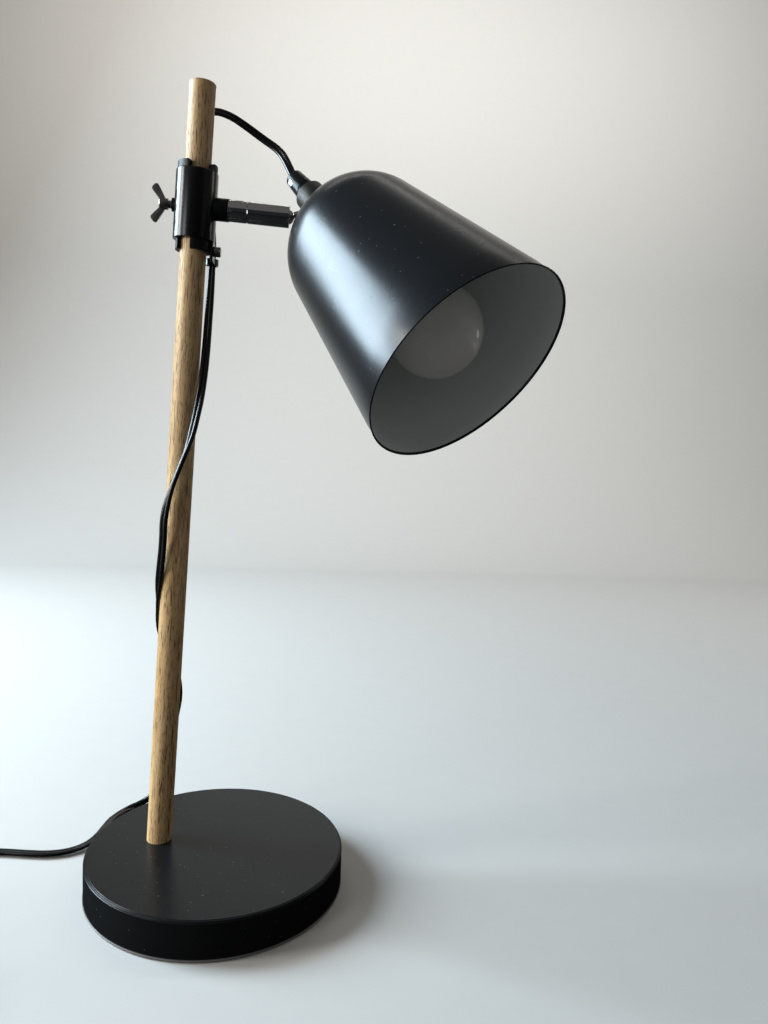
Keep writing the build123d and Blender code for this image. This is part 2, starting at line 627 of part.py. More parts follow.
def neck_stack():
    """Turned cap, flange, cord grip with its screw, nipple and nut."""
    cap = disc(NECK_D, SHADE_H, NECK_TOP)
    cap = chamfer(edges_at(cap, NECK_TOP), NECK_EDGE)
    cap -= disc(NIPPLE_D + 2 * CLOSE_GAP, SHADE_H, NECK_TOP)
    inward = Pos(0, 0, BALL_HEIGHT) * Rot(0, -90, 0)
    cap -= inward * disc(STUD_COLLAR_D + 2 * CLOSE_GAP, COLLAR_SEAT, NECK_D)
    thread_end = COLLAR_SEAT - STUD_THREAD_LENGTH
    cap -= inward * disc(STUD_THREAD_D, thread_end, COLLAR_SEAT)
    add("neck", HEAD * cap)
    flange = disc(FLANGE_D, NECK_TOP, FLANGE_TOP)
    flange = fillet(edges_at(flange, FLANGE_TOP), FLANGE_EDGE_R)
    add("neck_flange", HEAD * (flange - disc(NIPPLE_D + 2 * CLOSE_GAP, NECK_TOP, FLANGE_TOP)))

    grip = turned((0, FLANGE_TOP), (GRIP_BASE_D / 2, FLANGE_TOP),
                  (GRIP_BASE_D / 2, FLANGE_TOP + GRIP_COLLAR),
                  (GRIP_TOP_D / 2, GRIP_TOP), (0, GRIP_TOP))
    grip = fillet(edges_at(grip, GRIP_TOP), GRIP_TOP_R)
    nipple_top = FLANGE_TOP + NIPPLE_INTO_GRIP
    grip -= disc(NIPPLE_D + 2 * CLOSE_GAP, FLANGE_TOP, nipple_top)
    grip -= disc(CORD_WAY_D, nipple_top, GRIP_TOP)
    side = Rot(0, 0, GRIP_SCREW_AZIMUTH) * Pos(0, 0, FLANGE_TOP + GRIP_SCREW_HEIGHT) * Rot(0, 90, 0)
    screw_start = CORD_D / 2 + CLOSE_GAP
    grip -= side * disc(GRIP_SCREW_D + 2 * CLOSE_GAP, 0, GRIP_BASE_D)
    add("cord_grip", HEAD * grip)
    screw = disc(GRIP_SCREW_D, screw_start, screw_start + GRIP_SCREW_LENGTH)
    screw -= block((GRIP_SCREW_SLOT, 2 * GRIP_SCREW_D, 2 * GRIP_SCREW_SLOT),
                   (0, 0, screw_start + GRIP_SCREW_LENGTH))
    add("grip_screw", HEAD * side * screw)

    nipple_start = HOLDER_TOP - NIPPLE_INTO_CAP
    add("nipple", HEAD * ring(NIPPLE_D, NIPPLE_BORE_D, nipple_start, nipple_top))
    nut = extrude(RegularPolygon(NUT_WIDTH / 2, 6, major_radius=False), NUT_T)
    nut = Pos(0, 0, HOLDER_TOP) * nut - disc(NIPPLE_D + 2 * CLOSE_GAP, HOLDER_TOP, NUT_TOP)
    add("nipple_nut", HEAD * nut)


def holder():
    """Lampholder: two shells, ceramic, threaded shell, contacts and terminal screws."""
    r = HOLDER_D / 2
    cap_top_r = HOLDER_CAP_TOP_D / 2
    bend = HOLDER_TOP - 2 * HOLDER_NECK_H
    side_end = HOLDER_JOINT + HOLDER_CAP_SIDE
    cap = turned((0, HOLDER_JOINT), (r, HOLDER_JOINT), (r, side_end),
                 (cap_top_r + HOLDER_NECK_H, bend), (cap_top_r, bend + HOLDER_NECK_H),
                 (cap_top_r, HOLDER_TOP), (0, HOLDER_TOP))
    hollow = turned((0, HOLDER_JOINT), (r - HOLDER_WALL, HOLDER_JOINT),
                    (r - HOLDER_WALL, side_end - HOLDER_WALL),
                    (cap_top_r, bend - HOLDER_WALL), (0, bend - HOLDER_WALL))
    cap = cap - hollow - disc(NIPPLE_D + 2 * CLOSE_GAP, bend - HOLDER_WALL, HOLDER_TOP)
    add("holder_cap", HEAD * cap)

    shell_bore = SHELL_D + 2 * CLOSE_GAP
    shell_end = SHELL_START + SHELL_LENGTH
    body = turned((0, HOLDER_MOUTH), (r - HOLDER_LIP, HOLDER_MOUTH), (r, HOLDER_MOUTH + HOLDER_LIP),
                  (r, HOLDER_JOINT), (0, HOLDER_JOINT))
    body -= disc(shell_bore, HOLDER_MOUTH, shell_end)
    body -= disc(HOLDER_D - 2 * HOLDER_WALL, shell_end, HOLDER_JOINT)
    add("holder_body", HEAD * body)
    add("thread_shell", HEAD * ring(SHELL_D, SHELL_D - 2 * SHELL_T, SHELL_START, shell_end))

    ceramic_top = CERAMIC_START + CERAMIC_T
    ceramic_d = HOLDER_D - 2 * HOLDER_WALL - 2 * CLOSE_GAP
    ceramic = disc(ceramic_d, CERAMIC_START, ceramic_top)
    ceramic += ring(ceramic_d, SHELL_D, shell_end + CLOSE_GAP, CERAMIC_START)
    for x in (-TERMINAL_SPREAD, TERMINAL_SPREAD):
        ceramic -= Pos(x, 0, 0) * disc(TERMINAL_D / 2, ceramic_top - TERMINAL_H, ceramic_top)
    add("holder_insert", HEAD * ceramic)
    centre = block((CONTACT_LENGTH, CONTACT_WIDTH, CONTACT_T), (0, 0, BULB_TIP + CONTACT_T / 2))
    side_end = SHELL_D / 2 - CLOSE_GAP
    side_start = side_end - SIDE_CONTACT_WIDTH
    side = block((SHELL_T, CONTACT_WIDTH, CERAMIC_START - shell_end),
                 (side_start + SHELL_T / 2, 0, (CERAMIC_START + shell_end) / 2))
    side += block((SIDE_CONTACT_WIDTH, CONTACT_WIDTH, SHELL_T),
                  ((side_start + side_end) / 2, 0, shell_end + SHELL_T / 2))
    side &= disc(SHELL_D - 2 * CLOSE_GAP, shell_end, CERAMIC_START)
    add("holder_contacts", HEAD * Compound(children=[centre, side]))
    screws = []
    for x in (-TERMINAL_SPREAD, TERMINAL_SPREAD):
        screw = disc(TERMINAL_D / 2, ceramic_top - TERMINAL_H, ceramic_top)
        screw += disc(TERMINAL_D, ceramic_top, ceramic_top + TERMINAL_H / 2)
        slot_at = ceramic_top + TERMINAL_H / 2
        screw -= block((2 * TERMINAL_D, TERMINAL_SLOT, TERMINAL_SLOT), (0, 0, slot_at))
        screws.append(Pos(x, 0, 0) * screw)
    add("terminal_screws", HEAD * Compound(children=screws))
    add("lead_inner", HEAD * lead_inner(ceramic_top + TERMINAL_H / 2 + WIRE_D / 2 + CLOSE_GAP))


def lead_inner(low):
    """End of the jacket in the cord grip, and two wires down to the terminals."""
    jacket_end = GRIP_TOP - JACKET_LENGTH
    pieces = [disc(CORD_D, jacket_end, GRIP_TOP)]
    for side in (-1, 1):
        x = side * WIRE_PITCH / 2
        far = side * TERMINAL_SPREAD
        route = [(x, 0, jacket_end), (x, 0, HOLDER_TOP - NIPPLE_INTO_CAP - LOOSE_GAP), (far, 0, low)]
        path = FilletPolyline(*route, radius=WIRE_BEND_R)
        pieces.append(sweep(path.location_at(0) * Circle(WIRE_D / 2), path))
    return Compound(children=pieces)


def globe(inset):
    """Solid inside the bulb's glass, drawn in by inset."""
    radius = BULB_D / 2 - inset
    middle = BULB_FRONT + BULB_D / 2
    turn = math.radians(BULB_TURN)

    def on_globe(angle):
        return (radius * math.sin(angle), middle - radius * math.cos(angle))

    neck = (GLASS_NECK_D / 2 - inset, HOLDER_MOUTH)
    tube_r = BULB_CAP_D / 2 - BULB_CAP_WALL - CLOSE_GAP - inset
    tube_foot = (tube_r, BULB_CAP_START - CLOSE_GAP)
    tube_top = (tube_r, GLASS_TOP)
    outline = ThreePointArc(on_globe(0), on_globe(turn / 2), on_globe(turn))
    outline += TangentArc(on_globe(turn), neck, tangent=(math.cos(turn), math.sin(turn)))
    outline += Line(neck, tube_foot) + Line(tube_foot, tube_top)
    outline += Line(tube_top, (0, tube_top[1])) + Line((0, tube_top[1]), on_globe(0))
    return revolve(Plane.XZ * make_face(outline), Axis.Z)


def bulb():
    """Frosted bulb: glass, cap, insulator, contact, stem and filament."""
    add("bulb_globe", HEAD * (globe(0) - globe(GLASS_T)))
    cap_end = BULB_CAP_START + BULB_CAP_LENGTH
    insulator_end = cap_end + INSULATOR_T
    cap = disc(BULB_CAP_D, BULB_CAP_START, cap_end)
    cap -= disc(BULB_CAP_D - 2 * BULB_CAP_WALL, BULB_CAP_START, cap_end - BULB_CAP_WALL)
    add("bulb_cap", HEAD * cap)
    insulator = turned((0, cap_end), (BULB_CAP_D / 2 - INSULATOR_STEP, cap_end),
                       (BULB_CONTACT_D / 2 + INSULATOR_RIM, insulator_end),
                       (0, insulator_end))
    add("bulb_insulator", HEAD * insulator)
    add("bulb_contact", HEAD * disc(BULB_CONTACT_D, insulator_end, insulator_end + BULB_CONTACT_H))

    flare_r = BULB_CAP_D / 2 - BULB_CAP_WALL - 2 * CLOSE_GAP
    stem_tip = GLASS_TOP - STEM_LENGTH
    stem = disc(2 * flare_r, GLASS_TOP, GLASS_TOP + FLARE_T)
    stem += disc(STEM_D, stem_tip, GLASS_TOP)
    add("bulb_stem", HEAD * stem)
    reach = FILAMENT_SPAN / 2
    wires = disc(FILAMENT_D, stem_tip - FILAMENT_RISE, stem_tip)
    arch = Pos(0, 0, stem_tip - FILAMENT_RISE) * Rot(0, 90, 0) * disc(FILAMENT_D, -reach, reach)
    add("bulb_filament", HEAD * (wires + arch))


def middle(a, b):
    """Point halfway between two points."""
    return tuple((p + q) / 2 for p, q in zip(a, b))


def tube_path(points):
    """Straight runs joined by arcs as large as the runs allow, and the arcs' radii."""
    steps = [Vector(*b) - Vector(*a) for a, b in zip(points, points[1:])]
    radii = []
    for one, two in zip(steps, steps[1:]):
        half_turn = math.radians(one.get_angle(two)) / 2
        radii.append(ARC_SHARE * min(one.length, two.length) / math.tan(half_turn))
    return FilletPolyline(*points, radius=radii), radii


def cord_tube(name, points):
    """Round tube along a stretch of the lead; prints its radii and compares its volume."""
    path, radii = tube_path(points)
    tube = sweep(path.location_at(0) * Circle(CORD_D / 2), path)
    expected = math.pi * (CORD_D / 2) ** 2 * path.length
    print(name, "length", round(path.length, 1), "least radius", round(min(radii), 1),
          "radii", [round(r) for r in radii], "volume ratio", round(tube.volume / expected, 5))
    add(name, tube)
    return path.length


def link_route(start, end):
    """Route along Y that changes height between two level ends."""
    part_way = (end[1] - start[1]) * LINK_SHARE
    return [start, (start[0], start[1] + part_way, start[2]),
            (end[0], end[1] - part_way, end[2]), end]


def lead():
    """The lead's free stretches, each end to end with the next one; returns their length."""
    grip_exit = tuple((HEAD * Pos(0, 0, GRIP_TOP)).position)
    switch_entry = (SWITCH_X, SWITCH_Y, SWITCH_H / 2)
    switch_exit = (SWITCH_X, SWITCH_Y - SWITCH_LENGTH, SWITCH_H / 2)
    coil_entry = tuple(coil_point(0) - COIL_INTO * CORD_D)
    coil_exit = tuple(coil_point(COIL_TURNS) + COIL_INTO * CORD_D)
    plug_entry = (SWITCH_X, PLUG_Y, PLUG_H / 2)
    names = ["cord_loop_front", "cord_loop_rear", "cord_drop_upper", "cord_drop_lower",
             "cord_floor"]
    routes = [LOOP_FRONT, LOOP_REAR, DROP_UPPER, DROP_LOWER, FLOOR_RUN]
    length = cord_tube("cord_switch_link", link_route(switch_exit, coil_entry))
    length += cord_tube("cord_plug_link", link_route(coil_exit, plug_entry))
    for i, name in enumerate(names):
        start = middle(routes[i - 1][-1], routes[i][0]) if i else grip_exit
        end = middle(routes[i][-1], routes[i + 1][0]) if i + 1 < len(routes) else switch_entry
        length += cord_tube(name, [start, *routes[i], end])
    return length


def coil_point(turns):
    """Centre of the coiled tube after so many turns: spiral in, climb, spiral out."""
    inward = min(turns, COIL_TURNS - turns)
    radius = COIL_OUTER_R - COIL_PITCH * inward
    climb = min(max((turns - COIL_LAYER_TURNS) / 0.5, 0), 1)
    height = COIL_LIFT + COIL_PITCH * (1 - math.cos(math.pi * climb)) / 2
    angle = math.pi + 2 * math.pi * turns
    return Vector(COIL_X + radius * math.cos(angle), COIL_Y + radius * math.sin(angle), height)


def coil_direction(turns):
    """Direction of the coiled tube at that place."""
    step = 0.001
    return (coil_point(turns + step) - coil_point(turns - step)).normalized()


def biarc(start, leaving, end, arriving):
    """Two tangent arcs between two points with given directions."""
    chord = end - start
    both = leaving + arriving
    a = both.dot(both) - 4
    b = -2 * chord.dot(both)
    reach = (-b - math.sqrt(b * b - 4 * a * chord.dot(chord))) / (2 * a)
    near = start + leaving * reach
    far = end - arriving * reach
    joint = (near + far) * 0.5
    return [arc(start, near, joint), arc(joint, far, end)]


def arc(start, corner, end):
    """Arc from start to end, tangent to the lines through the corner."""
    half = (corner - start).get_angle(end - corner) / 2
    mid_chord = (start + end) * 0.5
    height = (corner - mid_chord).length
    depth = height / (1 + 1 / math.cos(math.radians(half)))
    on_arc = mid_chord + (corner - mid_chord).normalized() * depth
    return ThreePointArc(start, on_arc, end)


def coil():
    """Neat coil as one unbroken tube on quarter-turn biarcs; prints its least gap to itself."""
    count = round(4 * COIL_TURNS)
    places = [COIL_TURNS * i / count for i in range(count + 1)]
    points = [coil_point(t) for t in places]
    directions = [COIL_INTO] + [coil_direction(t) for t in places[1:-1]] + [COIL_INTO]
    start = points[0] - COIL_INTO * CORD_D
    edges = [Line(start, points[0])]
    for i in range(count):
        edges += biarc(points[i], directions[i], points[i + 1], directions[i + 1])
    edges.append(Line(points[-1], points[-1] + COIL_INTO * CORD_D))
    path = Wire(edges)
    tube = sweep(Plane(origin=start, z_dir=COIL_INTO) * Circle(CORD_D / 2), path)
    add("cord_coil", tube)
    expected = math.pi * (CORD_D / 2) ** 2 * path.length
    print("cord_coil length", round(path.length, 1), "least gap", round(coil_least_gap(), 2),
          "volume ratio", round(tube.volume / expected, 5))
    return path.length


def coil_least_gap():
    """Least distance between the coiled tube's turns, measured on points."""
    step = 1 / 72
    points = [coil_point(i * step) for i in range(round(COIL_TURNS / step) + 1)]
    apart = round(0.5 / step)
    return min((points[j] - points[i]).length - CORD_D
               for i in range(len(points)) for j in range(i + apart, len(points)))


def tie():
    """Band round the coil's turns."""
    first = (TIE_AZIMUTH - 180) / 360 % 1
    spread = COIL_PITCH * (COIL_TURNS / 2 - 2 * min(first, 1 - first))
    width = spread + CORD_D + 2 * TIE_T + 4 * LOOSE_GAP
    height = CORD_D + COIL_PITCH + 2 * TIE_T + 4 * CLOSE_GAP
    band = fillet(Box(TIE_WIDTH, width, height).edges().filter_by(Axis.X), 2 * TIE_T)
    opening = Box(2 * TIE_WIDTH, width - 2 * TIE_T, height - 2 * TIE_T)
    band -= fillet(opening.edges().filter_by(Axis.X), TIE_T)
    across = Rot(0, 0, TIE_AZIMUTH - 90) * Pos(0, COIL_OUTER_R - COIL_PITCH * COIL_TURNS / 4, 0)
    add("cord_tie", Pos(COIL_X, COIL_Y, height / 2) * across * band)


def switch_shells():
    """Upper and lower shells of the switch."""
    split = SWITCH_H / 2
    inner_top = SWITCH_H - SWITCH_WALL
    shell = Box(SWITCH_WIDTH, SWITCH_LENGTH, SWITCH_H, align=FROM_BASE)
    shell = fillet(shell.edges().filter_by(Axis.Z), SWITCH_CORNER_R)
    shell = fillet(shell.faces().sort_by(Axis.Z)[-1].edges(), SWITCH_TOP_R)
    shell = chamfer(shell.faces().sort_by(Axis.Z)[0].edges(), SWITCH_TOP_R / 2)
    hollow = Box(SWITCH_WIDTH - 2 * SWITCH_WALL, SWITCH_LENGTH - 2 * SWITCH_WALL,
                 SWITCH_H - 2 * SWITCH_WALL, align=FROM_BASE)
    hollow = fillet(hollow.edges().filter_by(Axis.Z), SWITCH_CORNER_R - SWITCH_WALL)
    shell -= Pos(0, 0, SWITCH_WALL) * hollow
    lead_way = Rot(90, 0, 0) * disc(CORD_WAY_D, -SWITCH_LENGTH, SWITCH_LENGTH)
    slot = 2 * math.sqrt(ROCKER_R ** 2 - (inner_top - ROCKER_PIVOT) ** 2) + 2 * LOOSE_GAP
    window = block((ROCKER_WIDTH + 2 * LOOSE_GAP, slot, SWITCH_H), (0, 0, SWITCH_H))
    for side in (-1, 1):
        x = side * SWITCH_POST_X
        y = side * SWITCH_POST_Y
        shell += Pos(x, y, 0) * disc(SWITCH_POST_D, SWITCH_WALL, inner_top)
        shell -= Pos(x, y, 0) * disc(SWITCH_SCREW_D, 0, split + SWITCH_SCREW_BITE)
        shell -= Pos(x, y, 0) * disc(SWITCH_SCREW_HEAD_D + 2 * CLOSE_GAP, 0, SWITCH_SCREW_HEAD_H)
        lug_low = ROCKER_PIVOT - ROCKER_PIN_D / 2 - LUG_UNDER_PIN
        lug_x = side * (ROCKER_WIDTH / 2 + LOOSE_GAP + LUG_T / 2)
        shell += block((LUG_T, LUG_WIDTH, inner_top - lug_low),
                       (lug_x, 0, (inner_top + lug_low) / 2))
    pin_way = Pos(0, 0, ROCKER_PIVOT) * Rot(0, 90, 0) * disc(
        ROCKER_PIN_D + 2 * CLOSE_GAP, -SWITCH_POST_X, SWITCH_POST_X)
    shell -= Pos(0, 0, split) * lead_way + window + pin_way
    cutter = block((2 * SWITCH_WIDTH, 2 * SWITCH_LENGTH, SWITCH_H), (0, 0, SWITCH_H))
    add("switch_top", SWITCH * (shell & cutter))
    add("switch_bottom", SWITCH * (shell - cutter))


def switch_inside():
    """Rocker on its pins, contacts, wires and screws of the switch."""
    split = SWITCH_H / 2
    low = ROCKER_PIVOT - ROCKER_BELOW
    high = SWITCH_H + ROCKER_R * math.tan(math.radians(ROCKER_RISE))
    profile = make_face(Polyline((-ROCKER_R, low), (ROCKER_R, low), (ROCKER_R, high),
                                 (0, SWITCH_H), (-ROCKER_R, high), close=True))
    rocker = extrude(Plane.YZ * profile, ROCKER_WIDTH / 2, both=True)
    across = Pos(0, 0, ROCKER_PIVOT) * Rot(0, 90, 0)
    rocker &= across * disc(2 * ROCKER_R, -ROCKER_WIDTH, ROCKER_WIDTH)
    pin_reach = ROCKER_WIDTH / 2 + ROCKER_PIN_LENGTH
    rocker += across * disc(ROCKER_PIN_D, -pin_reach, pin_reach)
    size_x, size_y, size_z = CONTACT_BLOCK
    leaf_top = SWITCH_WALL + size_z + LEAF_T
    rise = math.radians(ROCKER_RISE)
    cam_reach = ROCKER_PIVOT - leaf_top - RUNNING_GAP - CAM_WIDTH / 2 * math.sin(rise)
    rocker += block((CAM_WIDTH, CAM_WIDTH, cam_reach),
                    (CONTACT_BLOCK_X, 0, ROCKER_PIVOT - cam_reach / 2))
    tilt = Pos(0, 0, ROCKER_PIVOT) * Rot(-ROCKER_RISE, 0, 0) * Pos(0, 0, -ROCKER_PIVOT)
    add("switch_rocker", SWITCH * tilt * rocker)

    contacts = [block(CONTACT_BLOCK, (CONTACT_BLOCK_X, side * CONTACT_BLOCK_Y,
                                      SWITCH_WALL + size_z / 2)) for side in (-1, 1)]
    leaf = block((LEAF_WIDTH, 2 * CONTACT_BLOCK_Y + size_y, LEAF_T),
                 (CONTACT_BLOCK_X, 0, leaf_top - LEAF_T / 2))
    add("switch_contacts", SWITCH * Compound(children=contacts + [leaf]))

    wire_z = SWITCH_WALL + size_z / 2
    stub_end = SWITCH_LENGTH / 2 - STUB_LENGTH
    bend = CONTACT_BLOCK_Y + size_y / 2 + WIRE_LEAD_IN
    wires = []
    for side in (-1, 1):
        stub = Pos(0, 0, split) * Rot(90, 0, 0) * disc(CORD_D, stub_end, SWITCH_LENGTH / 2)
        wires.append(Rot(0, 0, 90 - 90 * side) * stub)
        live = FilletPolyline((-WIRE_PITCH / 2, side * stub_end, split),
                              (CONTACT_BLOCK_X, side * (bend + WIRE_D), wire_z),
                              (CONTACT_BLOCK_X, side * (bend - WIRE_LEAD_IN), wire_z),
                              radius=LIVE_BEND_R)
        wires.append(sweep(live.location_at(0) * Circle(WIRE_D / 2), live))
    neutral = FilletPolyline((WIRE_PITCH / 2, stub_end, split), (NEUTRAL_X, bend - WIRE_D, wire_z),
                             (NEUTRAL_X, WIRE_D - bend, wire_z), (WIRE_PITCH / 2, -stub_end, split),
                             radius=NEUTRAL_BEND_R)
    wires.append(sweep(neutral.location_at(0) * Circle(WIRE_D / 2), neutral))
    add("switch_wires", SWITCH * Compound(children=wires))
    screw = disc(SWITCH_SCREW_HEAD_D, SWITCH_SCREW_SINK, SWITCH_SCREW_HEAD_H)
    screw += disc(SWITCH_SCREW_D, SWITCH_SCREW_HEAD_H, split + SWITCH_SCREW_BITE)
    screw -= block((2 * SWITCH_SCREW_HEAD_D, TERMINAL_SLOT, 2 * TERMINAL_SLOT), (0, 0, 0))
    screws = [Pos(side * SWITCH_POST_X, side * SWITCH_POST_Y, 0) * screw for side in (-1, 1)]
    add("switch_screws", SWITCH * Compound(children=screws))


def plug():
    """Two-pin flat plug with its strain relief; Z runs towards the pins."""
    body_end = RELIEF_LENGTH + PLUG_LENGTH
    relief = Cone(RELIEF_TIP_D / 2, RELIEF_ROOT_D / 2, RELIEF_LENGTH, align=FROM_BASE)
    half_back = PLUG_BACK_WIDTH / 2
    half = PLUG_WIDTH / 2
    shoulder = RELIEF_LENGTH + PLUG_SHOULDER
    outline = make_face(Polyline((-half_back, RELIEF_LENGTH), (half_back, RELIEF_LENGTH),
                                 (half, shoulder), (half, body_end), (-half, body_end),
                                 (-half, shoulder), close=True))
    body = extrude(Plane.XZ * outline, PLUG_H / 2, both=True)
    body = fillet(body.edges().filter_by(Axis.Y), PLUG_EDGE_R)
    body = fillet(body.faces().sort_by(Axis.Y)[0].edges(), PLUG_EDGE_R)
    body = fillet(body.faces().sort_by(Axis.Y)[-1].edges(), PLUG_EDGE_R)
    body += relief
    pins = []
    sleeves = []
    inner_d = PIN_D - 2 * PIN_SLEEVE_WALL
    sleeve_end = body_end + PIN_SLEEVE_LENGTH
    for side in (-1, 1):
        place = Pos(side * PIN_PITCH / 2, 0, 0)
        tip = disc(PIN_D, sleeve_end, body_end + PIN_LENGTH)
        tip = fillet(edges_at(tip, body_end + PIN_LENGTH), PIN_TIP_R)
        pins.append(place * (tip + disc(inner_d, body_end - PIN_ROOT, sleeve_end)))
        sleeves.append(place * ring(PIN_D, inner_d, body_end, sleeve_end))
        body -= place * disc(inner_d, body_end - PIN_ROOT, body_end)
    add("plug_body", PLUG * body)
    add("plug_pins", PLUG * Compound(children=pins))
    add("plug_sleeves", PLUG * Compound(children=sleeves))


for build in (foot, post, liner, sleeve, wing_screw, swivel, clip, ball_stud, shade, neck_stack,
              holder, bulb, tie, switch_shells, switch_inside, plug):
    build()
print("lead without the switch", round(lead() + coil(), 1))

os.makedirs("parts", exist_ok=True)
for name, shape in parts.items():
    export_step(shape, f"parts/{name}.step")
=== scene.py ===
# %% [markdown]
# # A desk lamp with an oak post
#
# This lesson dresses a desk lamp. Its solids come from a CAD model that is already the right
# size and already knows how the lamp moves. Here each visible piece gets its real form and
# finish, and rides on the body that carries it. The lamp could be modelled here from nothing,
# but then its sizes and joints would be decided twice.

# %% The frame and the tools
import json
import math

import bmesh
import bpy
from mathutils import Matrix, Vector

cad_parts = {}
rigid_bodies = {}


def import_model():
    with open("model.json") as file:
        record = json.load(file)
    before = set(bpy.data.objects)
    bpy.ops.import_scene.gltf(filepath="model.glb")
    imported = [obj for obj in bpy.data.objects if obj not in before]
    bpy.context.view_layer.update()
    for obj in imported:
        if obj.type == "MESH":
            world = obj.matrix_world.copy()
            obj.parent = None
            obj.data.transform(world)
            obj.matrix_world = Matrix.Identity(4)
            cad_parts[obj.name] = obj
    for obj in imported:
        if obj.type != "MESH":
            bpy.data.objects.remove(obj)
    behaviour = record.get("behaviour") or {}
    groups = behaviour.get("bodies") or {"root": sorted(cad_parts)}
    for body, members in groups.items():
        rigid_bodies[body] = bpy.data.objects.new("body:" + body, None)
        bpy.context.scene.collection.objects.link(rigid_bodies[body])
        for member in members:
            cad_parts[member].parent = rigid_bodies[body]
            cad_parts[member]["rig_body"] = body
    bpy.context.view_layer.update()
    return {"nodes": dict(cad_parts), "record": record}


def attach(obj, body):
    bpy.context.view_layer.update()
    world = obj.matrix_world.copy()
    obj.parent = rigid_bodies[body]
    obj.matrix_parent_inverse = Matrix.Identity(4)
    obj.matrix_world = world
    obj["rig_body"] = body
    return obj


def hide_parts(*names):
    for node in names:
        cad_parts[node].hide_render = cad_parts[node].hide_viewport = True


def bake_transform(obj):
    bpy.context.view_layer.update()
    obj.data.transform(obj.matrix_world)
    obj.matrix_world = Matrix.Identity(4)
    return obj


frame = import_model()
nodes = frame["nodes"]
MM = 0.001

# %% [markdown]
# ## Where things are
#
# The lamp is measured in millimetres from the middle of the foot's underside. The oak post
# leans a little, so everything on it is placed in the post's own frame. The head has a frame
# at the middle of the shade's mouth, with Z up the shade's axis. Places could be worked out by
# hand in world axes, but one matrix for each frame does it once for all.


# %% Frames of the post, the clamp and the head
def frame_at(origin, x_dir, z_dir):
    """Matrix whose X and Z axes point as given; lengths are in millimetres."""
    y_dir = z_dir.cross(x_dir)
    turn = Matrix((x_dir, y_dir, z_dir)).transposed().to_4x4()
    return Matrix.Translation(origin) @ turn


POST_LEAN = math.radians(2.4)
POST_UP = Vector((math.sin(POST_LEAN), 0, math.cos(POST_LEAN)))
POST_ACROSS = Vector((math.cos(POST_LEAN), 0, -math.sin(POST_LEAN)))
FOOT_H = 27.0
POST_PLACE = Vector((-42.3, 8.7, FOOT_H))
CLAMP_HEIGHT = 446.0
POST = frame_at(POST_PLACE, POST_ACROSS, POST_UP)
CLAMP = POST @ Matrix.Translation((0, 0, CLAMP_HEIGHT))

SHADE_H = 154.5
BALL_REACH = 61.6
BALL_TO_AXIS = 27.34
BALL_OVER_SHADE = 20.95
HEAD_SWIVEL = math.radians(41.33)
HEAD_TILT = math.radians(33.155)
hang = Vector((0, -math.sin(HEAD_SWIVEL), -math.cos(HEAD_SWIVEL)))
along_arm = Vector((1, 0, 0))
down = hang * math.cos(HEAD_TILT) + along_arm * math.sin(HEAD_TILT)
out = along_arm * math.cos(HEAD_TILT) - hang * math.sin(HEAD_TILT)
mouth = along_arm * BALL_REACH + out * BALL_TO_AXIS + down * (SHADE_H + BALL_OVER_SHADE)
HEAD = CLAMP @ frame_at(mouth, out, -down)
print("middle of the shade's mouth", [round(x, 1) for x in HEAD.translation])

# %% [markdown]
# ## The camera
#
# The camera is a little above the clamp, close to the lamp, and looks slightly down. A Track To
# constraint could aim it, but that would hold it upright, and this view is turned a little. So
# its place and directions are given, worked out from the lamp's own straight and round parts.


# %% Camera
def new_object(name, data):
    """Object for some data, linked to the scene."""
    made = bpy.data.objects.new(name, data)
    bpy.context.scene.collection.objects.link(made)
    return made


CAMERA_PLACE = Vector((61.5, -537.5, 321.2))
CAMERA_RIGHT = Vector((0.9953, -0.0886, 0.0397))
CAMERA_UP = Vector((-0.0311, 0.0961, 0.9949))
LENS_LENGTH = 27.06
FILM_WIDTH = 36.0
NEAREST = 0.02
camera = new_object("camera", bpy.data.cameras.new("camera"))
camera.data.lens = LENS_LENGTH
camera.data.sensor_width = FILM_WIDTH
camera.data.clip_start = NEAREST
camera.matrix_world = frame_at(CAMERA_PLACE * MM, CAMERA_RIGHT, CAMERA_RIGHT.cross(CAMERA_UP))
bpy.context.scene.camera = camera
print("camera at", [round(x, 1) for x in CAMERA_PLACE], "lens", LENS_LENGTH)
